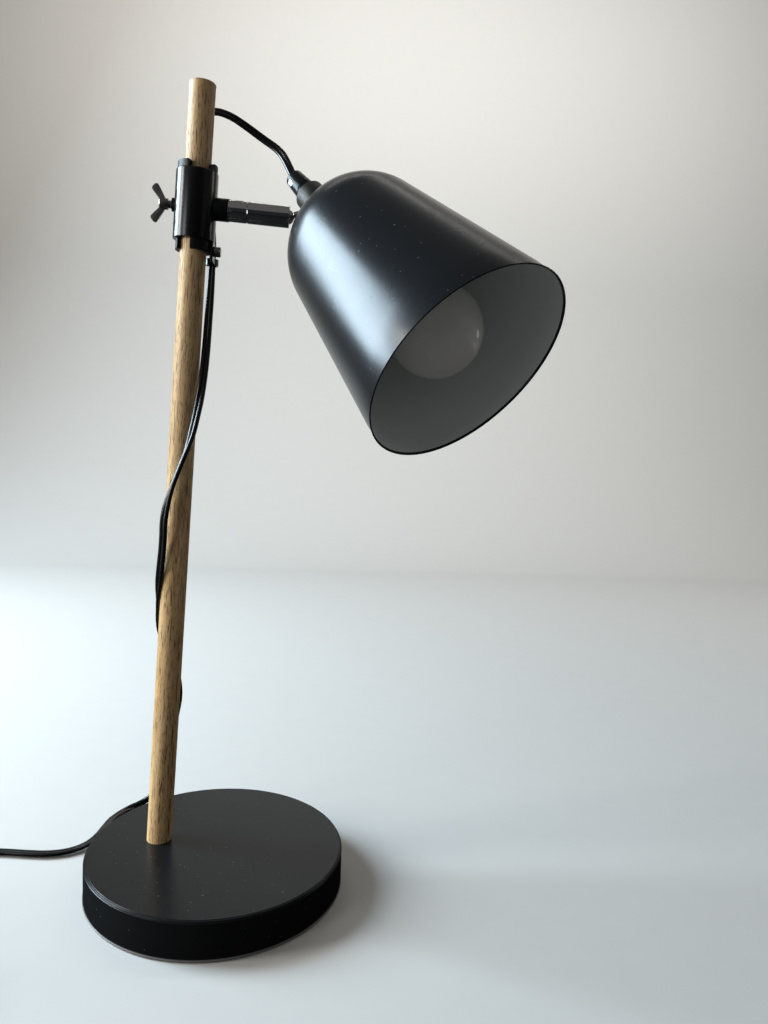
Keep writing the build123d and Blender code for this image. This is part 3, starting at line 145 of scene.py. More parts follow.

# %% [markdown]
# ## The lead's line
#
# A lead is a fixed length of something limp: it leaves the grip straight, loops, and hangs. One
# smooth line runs from the grip over the clamp, through the clip, down beside and behind the
# post and along the floor to the switch. It is cut into stretches where the lamp's parts move
# against each other. Neighbours meet halfway between their nearest points,
# where a quadratic spline goes through anyway, so the joins can't be seen. A simulated rope would
# fall its own way; points given one by one let the lead pass where the real one does.

# %% The routes, in millimetres
LOOP_FRONT = [(34.1, 49.8, 521.5), (28.2, 55.1, 530.2), (17, 56.6, 537.2)]
LOOP_REAR = [
    (5, 54.6, 544.4), (-7, 49.2, 549.6), (-18, 41.5, 549), (-26, 34.8, 540.5), (-29.3, 31, 526.5),
    (-28.3, 29.3, 509.5), (-24.2, 28.9, 492), (-18.4, 28.4, 476), (-14.6, 26.2, 463.5),
    (-13.6, 23, 452),
]
DROP_UPPER = [
    (-14, 21.4, 432), (-14.3, 18.4, 415.5), (-14.7, 14.2, 397), (-15.2, 9.7, 377.2),
    (-16.2, 3.6, 356.2), (-18.3, -2.2, 336.5),
]
DROP_LOWER = [
    (-22.5, -7.8, 313.5), (-28.6, -10, 297.5), (-35, -9.3, 280), (-39.3, -6.6, 263.1),
    (-40, -3.4, 245.1), (-42.8, 1.2, 224.2), (-45.2, 8, 204.3), (-45.8, 14.6, 185.4),
    (-42.4, 20.4, 167.2), (-35.6, 22.9, 150), (-31.6, 22.3, 131.7), (-35, 22.6, 111.8),
    (-40.2, 23.6, 90), (-43.6, 25.6, 72.5),
]
FLOOR_RUN = [
    (-45.9, 29.6, 52.3), (-47.6, 34.9, 42.6), (-49.9, 44.9, 36.4), (-52.4, 58.5, 34.6),
    (-54.6, 73, 36.5), (-56.2, 86.5, 36), (-57.7, 99, 31), (-60.5, 107.5, 21.5),
    (-67.5, 109.5, 10.5), (-78.5, 106, 4.2), (-89, 97.5, 3), (-95, 84, 3), (-97, 69, 3),
    (-99, 54.5, 3), (-104.5, 42.5, 3), (-114.5, 34.5, 3), (-128.5, 31.5, 3), (-146, 33, 3),
    (-165, 36, 3), (-183, 35, 3), (-197, 28, 3), (-206, 16, 4.2), (-209.4, 2, 7),
    (-210, -12, 8.5),
]
GRIP_HEAD = 220.0
NECK_DROP = 5.0
SWITCH_X = -210.0
SWITCH_ENTRY = Vector((SWITCH_X, -24, 8.5))
SWITCH_EXIT = Vector((SWITCH_X, -88, 8.5))
PLUG_ENTRY = Vector((SWITCH_X, -162, 6.85))
drawn = (LOOP_FRONT, LOOP_REAR, DROP_UPPER, DROP_LOWER, FLOOR_RUN)
routes = [[Vector(point) for point in route] for route in drawn]
halfway = [(one[-1] + two[0]) / 2 for one, two in zip(routes, routes[1:])]
joins = [HEAD @ Vector((0, 0, GRIP_HEAD - NECK_DROP)), *halfway, SWITCH_ENTRY]
routes = [[joins[i], *route, joins[i + 1]] for i, route in enumerate(routes)]
print("route points", [len(route) for route in routes])

# %% [markdown]
# ## The put-away length
#
# Most of the lead lies beside the view as a neat flat coil in two layers: in along a spiral, up
# by one lead's width, and out again. Its points could be listed like the rest, but a formula
# keeps a hundred of them evenly apart, so that the turns never touch.

# %% The coil's line
LEAD_WIDTH = 6.0
LEAD_THICKNESS = 3.2
COIL_PITCH = LEAD_WIDTH + 0.45
COIL_TURNS = 4
COIL_CLIMB_FROM = 1.75
COIL_CLIMB_TURN = 0.5
COIL_MEAN_D = 60.5
COIL_Y = -126.0
COIL_LIFT = 1.05
COIL_RADIUS = COIL_MEAN_D / 2 + COIL_PITCH * COIL_TURNS / 4
COIL_CENTRE = Vector((SWITCH_X + COIL_RADIUS, COIL_Y, 0))
COIL_LOW = LEAD_WIDTH / 2 + COIL_LIFT
COIL_STEPS = 24
LINK_SHARE = 0.28


def coil_point(turns):
    """Middle of the coiled lead after so many turns."""
    radius = COIL_RADIUS - COIL_PITCH * min(turns, COIL_TURNS - turns)
    climb = min(max((turns - COIL_CLIMB_FROM) / COIL_CLIMB_TURN, 0), 1)
    height = COIL_LOW + COIL_PITCH * (1 - math.cos(math.pi * climb)) / 2
    angle = math.pi + 2 * math.pi * turns
    return COIL_CENTRE + Vector((radius * math.cos(angle), radius * math.sin(angle), height))


def link(start, end):
    """Points between two level ends of different height."""
    part_way = Vector((0, (end.y - start.y) * LINK_SHARE, 0))
    return [start + part_way, end - part_way]


straight = Vector((0, -LEAD_WIDTH, 0))
turns = [coil_point(i / COIL_STEPS) for i in range(COIL_TURNS * COIL_STEPS + 1)]
coil_entry, coil_exit = turns[0] - straight, turns[-1] + straight
coil_route = [SWITCH_EXIT, *link(SWITCH_EXIT, coil_entry), coil_entry, *turns]
coil_route += [coil_exit, *link(coil_exit, PLUG_ENTRY), PLUG_ENTRY]
print("coil's outer radius", COIL_RADIUS, "points", len(coil_route))

# %% [markdown]
# ## A smooth line
#
# A curve object turns route points into a smooth line. Its bevel could carry the section as well,
# but a flat lead also twists, and a curve counts tilt from a frame that turns at every bend. So
# the line is read back as plain points, and the section is laid along them with its directions.


# %% Smooth line from a route
def smooth_line(route, resolution):
    """Points in metres along the quadratic spline that the route's points steer."""
    data = bpy.data.curves.new("line", "CURVE")
    data.dimensions = "3D"
    spline = data.splines.new("NURBS")
    spline.points.add(len(route) - 1)
    for point, place in zip(spline.points, route):
        point.co = (*(place * MM), 1)
    spline.order_u = 3
    spline.use_endpoint_u = True
    spline.resolution_u = resolution
    holder = bpy.data.objects.new("line", data)
    mesh = bpy.data.meshes.new_from_object(holder)
    line = [v.co.copy() for v in mesh.vertices]
    bpy.data.objects.remove(holder)
    bpy.data.meshes.remove(mesh)
    return line


# %% [markdown]
# ## Flat twin section
#
# Two round cores lie side by side in one jacket, with a groove between them on each side. Two
# round tubes could be pushed together, but they would hide walls inside each other. One outline
# of two arcs and two grooves is closed and clean.

# %% Section of the lead
LOBE_STEPS = 9
LOBE_TURN = math.radians(122)
GROOVE_HALF = 1.02


def lead_section():
    """Outline of the jacket as (across, through) pairs in millimetres."""
    lobe_r = LEAD_THICKNESS / 2
    centre = LEAD_WIDTH / 2 - lobe_r
    right = []
    for i in range(LOBE_STEPS + 1):
        angle = LOBE_TURN * (2 * i / LOBE_STEPS - 1)
        right.append((centre + lobe_r * math.cos(angle), lobe_r * math.sin(angle)))
    left = [(-x, -y) for x, y in right]
    return [(0, -GROOVE_HALF), *right, (0, GROOVE_HALF), *left]


SECTION = lead_section()
print("section points", len(SECTION))

# %% [markdown]
# ## Finished pieces
#
# Every visible piece ends the same way: a plain mesh with a material, on an object that rides on
# a body. These steps could be written out each time, but small functions keep them alike. Shade
# smooth alone would blur the corners, so edges past an angle are marked sharp.


# %% From a mesh to a piece
def new_piece(name, mesh, body, material, slot):
    """Object for a finished mesh; it rides on a body unless that is None."""
    piece = new_object(name, mesh)
    if material is not None:
        mesh.materials.clear()
        mesh.materials.append(material)
    if body is not None:
        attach(piece, body)
    return piece


SOFT_DEGREES = 40


def smooth(mesh, angle=SOFT_DEGREES):
    """Smooth shading that keeps edges sharper than the angle."""
    mesh.shade_smooth()
    mesh.set_sharp_from_angle(angle=math.radians(angle))


def mesh_of(bm, name):
    """New mesh with what a bmesh holds; the bmesh is freed."""
    mesh = bpy.data.meshes.new(name)
    bm.to_mesh(mesh)
    bm.free()
    return mesh


def outward(mesh):
    """Turns a closed mesh's faces outwards if they point in."""
    bm = bmesh.new()
    bm.from_mesh(mesh)
    if bm.calc_volume(signed=True) < 0:
        bmesh.ops.reverse_faces(bm, faces=bm.faces)
        bm.to_mesh(mesh)
    bm.free()


# %% [markdown]
# ## The sweep
#
# The jacket is pressed out through a die, so its section is the same everywhere and only turns.
# The section's width has to point somewhere: a list of directions says where at shares of the
# stretch, and in between the lead turns smoothly, as a real one does.


# %% Section along a line
def line_length(line):
    """Length along a line's points."""
    return sum((b - a).length for a, b in zip(line, line[1:]))


def sweep_lead(name, line, sides):
    """Closed mesh of the flat lead along a line; sides is [(share, width direction), ...]."""
    lengths = [0.0]
    for a, b in zip(line, line[1:]):
        lengths.append(lengths[-1] + (b - a).length)
    bm = bmesh.new()
    rings = []
    for i, point in enumerate(line):
        ahead = (line[min(i + 1, len(line) - 1)] - line[max(i - 1, 0)]).normalized()
        share = lengths[i] / lengths[-1]
        later = next(k for k, s in enumerate(sides) if s[0] >= share - 1e-9)
        now, then = sides[max(later - 1, 0)], sides[later]
        blend = (share - now[0]) / (then[0] - now[0]) if then[0] > now[0] else 0
        blend = blend * blend * (3 - 2 * blend)
        across = Vector(now[1]).normalized().lerp(Vector(then[1]).normalized(), blend)
        across = (across - ahead * across.dot(ahead)).normalized()
        through = ahead.cross(across)
        rings.append([bm.verts.new(point + (across * x + through * y) * MM) for x, y in SECTION])
    count = len(SECTION)
    for one, two in zip(rings, rings[1:]):
        for k in range(count):
            bm.faces.new((one[k], one[(k + 1) % count], two[(k + 1) % count], two[k]))
    bm.faces.new(reversed(rings[0]))
    bm.faces.new(rings[-1])
    mesh = mesh_of(bm, name)
    smooth(mesh)
    outward(mesh)
    return mesh


# %% [markdown]
# ## The lead's stretches
#
# The list holds each stretch, the bodies at its two ends and the CAD solids that it stands for.
# A stretch with a body at one end only rides on that body; one between two bodies stays where it
# is drawn. The whole lead could be one mesh, but that would have to follow five bodies at once.

# %% Stretches of the lead
UPRIGHT = (0, 0, 1)
sides_of = {
    "loop_front": [(0, (0.75, 0.45, 0.5)), (0.55, (0.35, 0.25, 0.9)), (1, (0.15, 0.2, 0.95))],
    "loop_rear": [(0, (0.15, 0.2, 0.95)), (0.3, (0.2, 0.6, 0.6)), (0.55, (0.3, 0.9, 0.1)),
                  (0.8, (0.35, 0.92, 0)), (1, (0.5, 0.85, 0))],
    "drop_upper": [(0, (0.5, 0.85, 0)), (0.3, (0.8, 0.6, 0)), (0.7, (0.95, 0.3, 0)),
                   (1, (0.85, -0.5, 0))],
    "drop_lower": [(0, (0.85, -0.5, 0)), (0.08, (0.3, -0.95, 0)), (0.14, (0.3, -0.95, 0)),
                   (0.24, (0.85, -0.5, 0)), (0.4, (0.85, -0.5, 0)), (0.48, (0.15, -0.98, 0)),
                   (0.56, (-0.5, -0.85, 0)), (0.66, (-0.8, -0.6, 0)), (0.8, (-0.9, 0.2, 0)),
                   (1, (-0.95, 0.2, 0))],
    "floor_run": [(0, (0.95, -0.2, 0)), (0.12, (1, 0.1, 0)), (0.4, (0.8, 0.5, 0)),
                  (0.5, (0.3, 0.9, 0)), (0.75, (-0.3, 0.9, 0)), (0.9, (-0.9, 0.3, 0)),
                  (1, (-1, 0, 0))],
    "coil_run": [(0, (-1, 0, 0)), (0.03, (-0.7, 0, 0.7)), (0.045, UPRIGHT), (1, UPRIGHT)],
}
stretches = [
    ("loop_front", "head", "arm", ["cord_loop_front"]),
    ("loop_rear", "arm", "clamp", ["cord_loop_rear"]),
    ("drop_upper", "clamp", "carriage", ["cord_drop_upper"]),
    ("drop_lower", "carriage", "stand", ["cord_drop_lower"]),
    ("floor_run", "stand", None, ["cord_floor"]),
    ("coil_run", "stand", None, ["cord_switch_link", "cord_coil", "cord_plug_link"]),
]
LINE_RESOLUTION = 10
COIL_RESOLUTION = 4
leads = {}
for (name, near, far, solids), route in zip(stretches, [*routes, coil_route]):
    line = smooth_line(route, COIL_RESOLUTION if name == "coil_run" else LINE_RESOLUTION)
    mesh = sweep_lead("lead_" + name, line, sides_of[name])
    piece = new_piece("lead_" + name, mesh, None if far else near, None, "lead_jacket")
    if far:
        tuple(line[0])
        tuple(line[-1])
        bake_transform(piece)
    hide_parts(*solids)
    leads[name] = (piece, line)
    print(name, "length", round(line_length(line), 4))

# %% [markdown]
# ## Writing shader maths as Python
#
# A material is a graph of nodes. The small class below wraps one socket, so that an expression
# such as `grain * 0.3 + 0.4` adds the Math nodes by itself. Every other node comes from one
# method that takes its type, its settings and what goes into its sockets. Nodes could be added
# and linked line by line instead, but a formula is read sooner than a list of links.


# %% A socket with operators
class Field:
    """One output socket on which Python's operators work."""

    def __init__(self, finish, socket):
        self.finish = finish
        self.socket = socket

    def math(self, operation, one, two):
        return self.finish.node("Math", {"operation": operation}, {0: one, 1: two})

    def __add__(self, other):
        return self.math("ADD", self, other)

    __radd__ = __add__

    def __sub__(self, other):
        return self.math("SUBTRACT", self, other)

    def __rsub__(self, other):
        return self.math("SUBTRACT", other, self)

    def __mul__(self, other):
        return self.math("MULTIPLY", self, other)

    __rmul__ = __mul__

    def larger(self, other):
        return self.math("MAXIMUM", self, other)

    def within(self, low, high):
        """0 below low, 1 above high and a smooth rise between."""
        return self.finish.node("MapRange", {"interpolation_type": "SMOOTHSTEP"},
                                {"Value": self, "From Min": low, "From Max": high})


# %% [markdown]
# ## Finishes on Object coordinates
#
# Every finish here reads Object coordinates. A UV map would have to be unwrapped for each piece
# and would show its seams, while a pattern in space runs through a piece without any. A Mapping
# node turns the pattern into the frame of the post or the head.


# %% A material with expressions
class Finish:
    """A material whose nodes are written as expressions."""

    def __init__(self, name):
        self.material = bpy.data.materials.new(name)
        self.material.use_nodes = True
        self.tree = self.material.node_tree
        self.shader = self.tree.nodes["Principled BSDF"]

    def put(self, socket, value):
        if isinstance(value, Field):
            self.tree.links.new(value.socket, socket)
        else:
            socket.default_value = value

    def node(self, kind, settings=None, inputs=None, output=0):
        made = self.tree.nodes.new("ShaderNode" + kind)
        for key, value in (settings or {}).items():
            setattr(made, key, value)
        for key, value in (inputs or {}).items():
            self.put(made.inputs[key], value)
        return Field(self, made.outputs[output])

    def where(self, frame_mm=None, stretch=(1, 1, 1)):
        """Object coordinates in metres, turned to stand in a frame of the lamp."""
        place = self.node("TexCoord", output="Object")
        if frame_mm is not None:
            spin = frame_mm.to_3x3().inverted()
            home = spin @ frame_mm.translation * -MM
            place = self.node("Mapping", {}, {"Vector": place, "Location": home,
                                              "Rotation": spin.to_euler()})
        if stretch != (1, 1, 1):
            place = self.node("Mapping", {}, {"Vector": place, "Scale": stretch})
        return place

    def noise(self, place, scale, detail=3.0, roughness=0.55):
        return self.node("TexNoise", {}, {"Vector": place, "Scale": scale, "Detail": detail,
                                          "Roughness": roughness})

    def specks(self, place, scale, size):
        """Small round marks, one for some of the cells of a grid of points."""
        far = self.node("TexVoronoi", {}, {"Vector": place, "Scale": scale})
        pick = self.node("TexVoronoi", {}, {"Vector": place, "Scale": scale}, output="Color")
        chance = self.node("SeparateColor", {}, {"Color": pick})
        return (1 - far.within(size * 0.5, size)) * chance.within(0.8, 0.85)

    def mix(self, amount, one, two):
        return self.node("Mix", {"data_type": "RGBA"}, {0: amount, 6: one, 7: two}, 2)

    def bump(self, height, distance, strength):
        return self.node("Bump", {}, {"Height": height, "Distance": distance,
                                      "Strength": strength})

    def surface(self, **values):
        """Sets or links the shader's own sockets; a name's underscores stand for spaces."""
        for key, value in values.items():
            self.put(self.shader.inputs[key.replace("_", " ")], value)
        return self.material


def rgb(red, green, blue):
    return (red, green, blue, 1.0)


# %% [markdown]
# ## Black enamels
#
# The foot and the shade are powder coated: satin black with a very fine skin like an orange's.
# A few specks of dust lie on the paint, paler than it and quite dull. The foot's lowest edge is
# painted paler in a thin band. The sleeve and its clip are glossier. An image could hold the dust
# and the pale band, but noise and cells of points need no picture and stay sharp at any distance.

# %% Enamel for the foot, the shade, the sleeve and its clip
# Heights of the thin band painted paler along the foot's lowest edge, in metres.
PALE_BAND_TOP = 2.5 * MM
PALE_BAND_FROM = PALE_BAND_TOP * 0.8


def enamel(name, colour, roughness, dust, shine, frame_mm=None, second_tone=False):
    """Satin paint with a fine skin and a little dust; second_tone paints the lowest edge paler.
    """
    made = Finish(name)
    place = made.where(frame_mm)
    skin = made.noise(place, 950, 2)
    patches = made.noise(place, 14, 4)
    specks = made.specks(place, 120, 0.07) * dust + made.specks(place, 280, 0.13) * dust * 0.7
    base = made.mix(specks, colour, rgb(0.34, 0.34, 0.34))
    if second_tone:
        # The lowest edge is painted paler in a thin, uneven band.
        height = made.node("SeparateXYZ", {}, {"Vector": place}, output=2)
        pale_band = 1 - height.within(PALE_BAND_FROM, PALE_BAND_TOP)
        base = made.mix(pale_band * (patches * 0.5 + 0.3), base, rgb(0.3, 0.29, 0.28))
    rough = patches * 0.12 + (roughness - 0.06) + specks * 0.3
    return made.surface(Base_Color=base, Roughness=rough, Normal=made.bump(skin, 0.00004, 0.5),
                        Specular_IOR_Level=shine)


finishes = {
    # The black enamel paints the paler band along the foot's lowest edge.
    "black_enamel": enamel("black enamel", rgb(0.009, 0.0095, 0.01), roughness=0.27, dust=0.4,
                           shine=0.16, second_tone=True),
    "shade_enamel": enamel("shade enamel", rgb(0.009, 0.0105, 0.0125), roughness=0.27, dust=0.35,
                           shine=0.36, frame_mm=HEAD),
    "gloss_enamel": enamel("gloss enamel", rgb(0.006, 0.006, 0.0065), roughness=0.2, dust=0.05,
                           shine=0.5, frame_mm=CLAMP),
}
print("enamels", len(finishes))

# %% [markdown]
# ## The pale inside
#
# The inside of the shade is a matt pale grey paint, a little uneven, as spray is deep in a bell.
# It could be a second shell inside the first, but two shells touch or gape somewhere. It is a
# second material on the same sheet, as on the real one.

# %% Inside of the shade
pale = Finish("pale inside")
spray = pale.noise(pale.where(HEAD), 22, 4)
shade_inside = pale.surface(
    Base_Color=pale.mix(spray, rgb(0.76, 0.81, 0.81), rgb(0.83, 0.875, 0.875)),
    Roughness=spray * 0.1 + 0.55,
    Normal=pale.bump(pale.noise(pale.where(HEAD), 700, 2), 0.00005, 0.5))
print("nodes in the pale paint", len(pale.tree.nodes))

# %% [markdown]
# ## Oak
#
# Oak's look is its pores: short dark dashes along the grain, in bands where the tree grew in
# spring. Noises are stretched along the post: broad bands of warmer and paler wood, fine fibres,
# and pores and flecks, which are cut out of a noise by a threshold and pressed in a little. A
# picture of boards would stretch where it is wrapped round a dowel, and these run right through.


# %% Oak
def oak():
    made = Finish("oiled oak")
    bands = made.noise(made.where(POST, (1, 1, 0.04)), 210, 4, 0.6)
    fibres = made.noise(made.where(POST, (1, 1, 0.025)), 1500, 3, 0.6)
    pores = made.noise(made.where(POST, (1, 1, 0.08)), 1050, 2, 0.5)
    flecks = made.noise(made.where(POST, (1, 1, 0.14)), 1700, 1, 0.5)
    blush = made.noise(made.where(POST, (1, 1, 0.2)), 30, 3)
    spring = bands.within(0.38, 0.6)
    dashes = pores.within(0.555, 0.625) * (spring * 0.55 + 0.45)
    dashes = dashes.larger(flecks.within(0.6, 0.66) * 0.6)
    wood = made.mix(bands.within(0.3, 0.7), rgb(0.84, 0.59, 0.3), rgb(0.6, 0.36, 0.15))
    wood = made.mix(blush.within(0.35, 0.75) * 0.45, wood, rgb(0.7, 0.46, 0.22))
    wood = made.mix(fibres.within(0.35, 0.75) * 0.38, wood, rgb(0.45, 0.26, 0.11))
    wood = made.mix(dashes * 0.85, wood, rgb(0.085, 0.042, 0.018))
    height = 1 - dashes * 0.9 - fibres * 0.25
    return made.surface(Base_Color=wood, Roughness=dashes * 0.2 + fibres * 0.12 + 0.34,
                        Normal=made.bump(height, 0.00025, 0.8))


finishes["oak"] = oak()
print("nodes in the oak", len(finishes["oak"].node_tree.nodes))

# %% [markdown]
# ## Metals
#
# Chrome mirrors the room. The neck's cap is turned and left satin: fine rings round its axis
# scatter the light along it. The Anisotropic value could spread it too, but it needs tangents,
# and rings are what a lathe leaves. Blackened steel is dark, with clouds of brighter metal.


# %% Chrome, turned metal, steel and brass
def polished(name, colour, roughness):
    made = Finish(name)
    place = made.where()
    smear = made.noise(place, 160, 4)
    return made.surface(Base_Color=colour, Metallic=1.0, Roughness=smear * 0.08 + roughness,
                        Normal=made.bump(made.noise(place, 500, 2), 0.000012, 0.3))


def turned_metal(name, colour, other, roughness, frame_mm):
    made = Finish(name)
    lines = made.noise(made.where(frame_mm, (0.02, 0.02, 1)), 1400, 3, 0.7)
    cloud = made.noise(made.where(frame_mm), 90, 4)
    base = made.mix(cloud.within(0.35, 0.7), colour, other)
    return made.surface(Base_Color=base, Metallic=1.0, Roughness=lines * 0.22 + roughness,
                        Normal=made.bump(lines, 0.00003, 0.6))


def plain_metal(name, colour, second_tone, roughness, wear=0.3):
    made = Finish(name)
    place = made.where()
    grain = made.noise(place, 1800, 3)
    cloud = made.noise(place, 260, 4)
    base = made.mix(cloud.within(0.5, 0.75) * wear, colour, second_tone)
    return made.surface(Base_Color=base, Metallic=1.0, Roughness=grain * 0.15 + roughness,
                        Normal=made.bump(grain, 0.00002, 0.5))


finishes["chrome"] = polished("chrome", rgb(0.82, 0.81, 0.79), 0.06)
finishes["neck_metal"] = turned_metal("satin neck", rgb(0.075, 0.068, 0.06),
                                      rgb(0.05, 0.046, 0.041), 0.4, HEAD)
finishes["dark_steel"] = plain_metal("blackened steel", rgb(0.34, 0.335, 0.32),
                                     rgb(0.6, 0.58, 0.55), 0.22, wear=0.6)
for slot, name, colour, second_tone, roughness in (
        ("steel", "zinc plated steel", (0.62, 0.62, 0.6), (0.5, 0.49, 0.46), 0.25),
        ("brass", "brass", (0.72, 0.52, 0.24), (0.5, 0.36, 0.17), 0.28),
        ("cap_metal", "bulb cap", (0.78, 0.78, 0.79), (0.62, 0.62, 0.62), 0.3),
        ("filament_wire", "wire", (0.3, 0.3, 0.3), (0.2, 0.2, 0.2), 0.4),
        ("cast_weight", "cast iron", (0.13, 0.125, 0.12), (0.2, 0.13, 0.09), 0.55)):
    finishes[slot] = plain_metal(name, rgb(*colour), rgb(*second_tone), roughness)
print("finishes with the metals", len(finishes))

# %% [markdown]
# ## Plastics, rubber and glass
#
# Moulded plastic has a faint skin and soft highlights. The lead's jacket is satin with long
# gentle waves. The bulb's glass is frosted inside and smooth outside: white with a clear gloss.
# It could let light through, but that renders slowly, and an unlit frosted bulb looks like white
# glaze. One function makes them all, since moulded things differ in colour, gloss and grain.


# %% Plastics, rubber, ceramic and glass
def moulded(name, colour, roughness, skin_scale=1200, skin=0.00003, **more):
    made = Finish(name)
    place = made.where()
    grain = made.noise(place, skin_scale, 3)
    cloud = made.noise(place, 60, 3)
    shade = rgb(*[c * 0.82 for c in colour[:3]])
    return made.surface(Base_Color=made.mix(cloud, shade, colour),
                        Roughness=grain * 0.12 + roughness,
                        Normal=made.bump(grain, skin, 0.6), **more)


finishes |= {
    "black_plastic": moulded("black plastic", rgb(0.01, 0.01, 0.0105), 0.42,
                             Specular_IOR_Level=0.28),
    "rocker_plastic": moulded("rocker plastic", rgb(0.02, 0.02, 0.021), 0.22, 1600, 0.00001),
    "nylon": moulded("nylon", rgb(0.78, 0.77, 0.73), 0.4),
    "foot_pad": moulded("foot pad", rgb(0.045, 0.045, 0.045), 0.7, 900, 0.00008),
    "ceramic": moulded("glazed ceramic", rgb(0.8, 0.79, 0.75), 0.15, 300),
    "lead_jacket": moulded("lead jacket", rgb(0.008, 0.008, 0.0085), 0.2, 260, 0.00006),
    "frosted_glass": moulded("frosted glass", rgb(0.85, 0.85, 0.82), 0.3, 500, 0.00001,
                             Coat_Weight=0.7, Coat_Roughness=0.06),
    "clear_glass": moulded("clear glass", rgb(0.75, 0.78, 0.78), 0.08, 500, 0.00001,
                           Transmission_Weight=0.8),
}
slot_of = {s["node"]: s["material_slot"] for s in frame["record"]["subparts"]}
for name, node in nodes.items():
    node.data.materials.clear()
    node.data.materials.append(finishes[slot_of[name]])
for piece, _ in leads.values():
    piece.data.materials.append(finishes["lead_jacket"])
print("finishes", len(finishes) + 1)

# %% [markdown]
# ## Growing pieces with Geometry Nodes
#
# Two rules repeat on this lamp: an outline turned round an axis, and a small form repeated along
# a line. The Screw and Array modifiers could do both, but a tree of nodes shows its rule and has
# named inputs. The class below adds a tree's nodes by calls.


# %% A tree with named inputs
class Tree:
    """A Geometry Nodes tree; the inputs' names and types are given as keywords."""

    def __init__(self, name, **inputs):
        self.tree = bpy.data.node_groups.new(name, "GeometryNodeTree")
        sockets = self.tree.interface
        for label, kind in inputs.items():
            sockets.new_socket(label, in_out="INPUT", socket_type="NodeSocket" + kind)
        sockets.new_socket("Mesh", in_out="OUTPUT", socket_type="NodeSocketGeometry")
        self.given = self.add("NodeGroupInput")

    def add(self, kind, links=None, **settings):
        """Outputs of a new node; a socket among its links is linked, a plain value is set."""
        made = self.tree.nodes.new(kind)
        for key, value in settings.items():
            setattr(made, key, value)
        for key, value in (links or {}).items():
            if isinstance(value, bpy.types.NodeSocket):
                self.tree.links.new(value, made.inputs[key])
            else:
                made.inputs[key].default_value = value
        return made.outputs

    def maths(self, operation, *values):
        return self.add("ShaderNodeMath", dict(enumerate(values)), operation=operation)[0]

    def ending_in(self, shape):
        """The whole tree, whose shape becomes one mesh in the given finish."""
        real = self.add("GeometryNodeRealizeInstances", {0: shape})[0]
        painted = self.add("GeometryNodeSetMaterial", {0: real, "Material": self.given["Finish"]})
        self.add("NodeGroupOutput", {0: painted[0]})
        return self.tree


# %% [markdown]
# ## From a seed to a piece
#
# A tree changes a seed mesh: an outline for the lathe, one ridge for a row. The result is read
# back as a plain mesh, put in its place and given its body. The modifier could be left live, but
# a plain mesh is what other programs and later steps can read.


# %% Growing a piece
def made_mesh(holder, name):
    """Plain mesh of an object as its modifiers leave it; the object is removed."""
    bpy.context.view_layer.update()
    ready = holder.evaluated_get(bpy.context.evaluated_depsgraph_get())
    mesh = bpy.data.meshes.new_from_object(ready)
    mesh.name = name
    bpy.data.objects.remove(holder)
    return mesh


def grown(name, seed, tree, values, place, slot, body, angle):
    """Piece that a tree grows from a seed mesh, placed in a frame in millimetres."""
    holder = new_object(name, seed)
    modifier = holder.modifiers.new("growth", "NODES")
    modifier.node_group = tree
    values["Finish"] = finishes[slot]
    for item in tree.interface.items_tree:
        if item.in_out == "INPUT" and item.name in values:
            modifier[item.identifier] = values[item.name]
    mesh = made_mesh(holder, name)
    mesh.transform(Matrix.Translation(place.translation * MM) @ place.to_3x3().to_4x4())
    outward(mesh)
    smooth(mesh, angle)
    return new_piece(name, mesh, body, finishes[slot], slot)


# %% [markdown]
# ## The lathe
#
# Spun and turned metal follows one rule: an outline goes round an axis. The tree reads the
# outline's points, makes a grid with one row for each of them, and moves each grid point to its
# place round the axis. Where the grid's two ends meet, its points are merged.


# %% The lathe's tree
def lathe_tree():
    tree = Tree("lathe", Outline="Geometry", Steps="Int", Finish="Material")
    add, maths = tree.add, tree.maths
    outline, steps = tree.given["Outline"], tree.given["Steps"]
    size = add("GeometryNodeAttributeDomainSize", {"Geometry": outline}, component="MESH")
    rows = size["Point Count"]
    grid = add("GeometryNodeMeshGrid", {"Vertices X": maths("ADD", steps, 1.0),
                                        "Vertices Y": rows})
    index = add("GeometryNodeInputIndex")[0]
    column = maths("FLOOR", maths("DIVIDE", index, rows))
    angle = maths("MULTIPLY", maths("DIVIDE", column, steps), 2 * math.pi)
    sample = add("GeometryNodeSampleIndex", {
        "Geometry": outline, "Value": add("GeometryNodeInputPosition")[0],
        "Index": maths("MODULO", index, rows)}, data_type="FLOAT_VECTOR")
    radius, _, height = add("ShaderNodeSeparateXYZ", {0: sample[0]})
    place = add("ShaderNodeCombineXYZ", {0: maths("MULTIPLY", radius, maths("COSINE", angle)),
                                         1: maths("MULTIPLY", radius, maths("SINE", angle)),
                                         2: height})
    moved = add("GeometryNodeSetPosition", {"Geometry": grid["Mesh"], "Position": place[0]})
    merged = add("GeometryNodeMergeByDistance", {"Geometry": moved[0], "Distance": 1e-6})
    return tree.ending_in(merged[0])


LATHE = lathe_tree()
print("nodes in the lathe", len(LATHE.nodes))

# %% [markdown]
# ## Outlines with round corners
#
# A turned piece has no sharp corner: the tool leaves a small radius. A Bevel modifier could make
# it, but on an outline each corner can have a radius of its own, and the seam stays closed.

# %% Round corners and the lathe
BEND_SUPPORT = 0.35


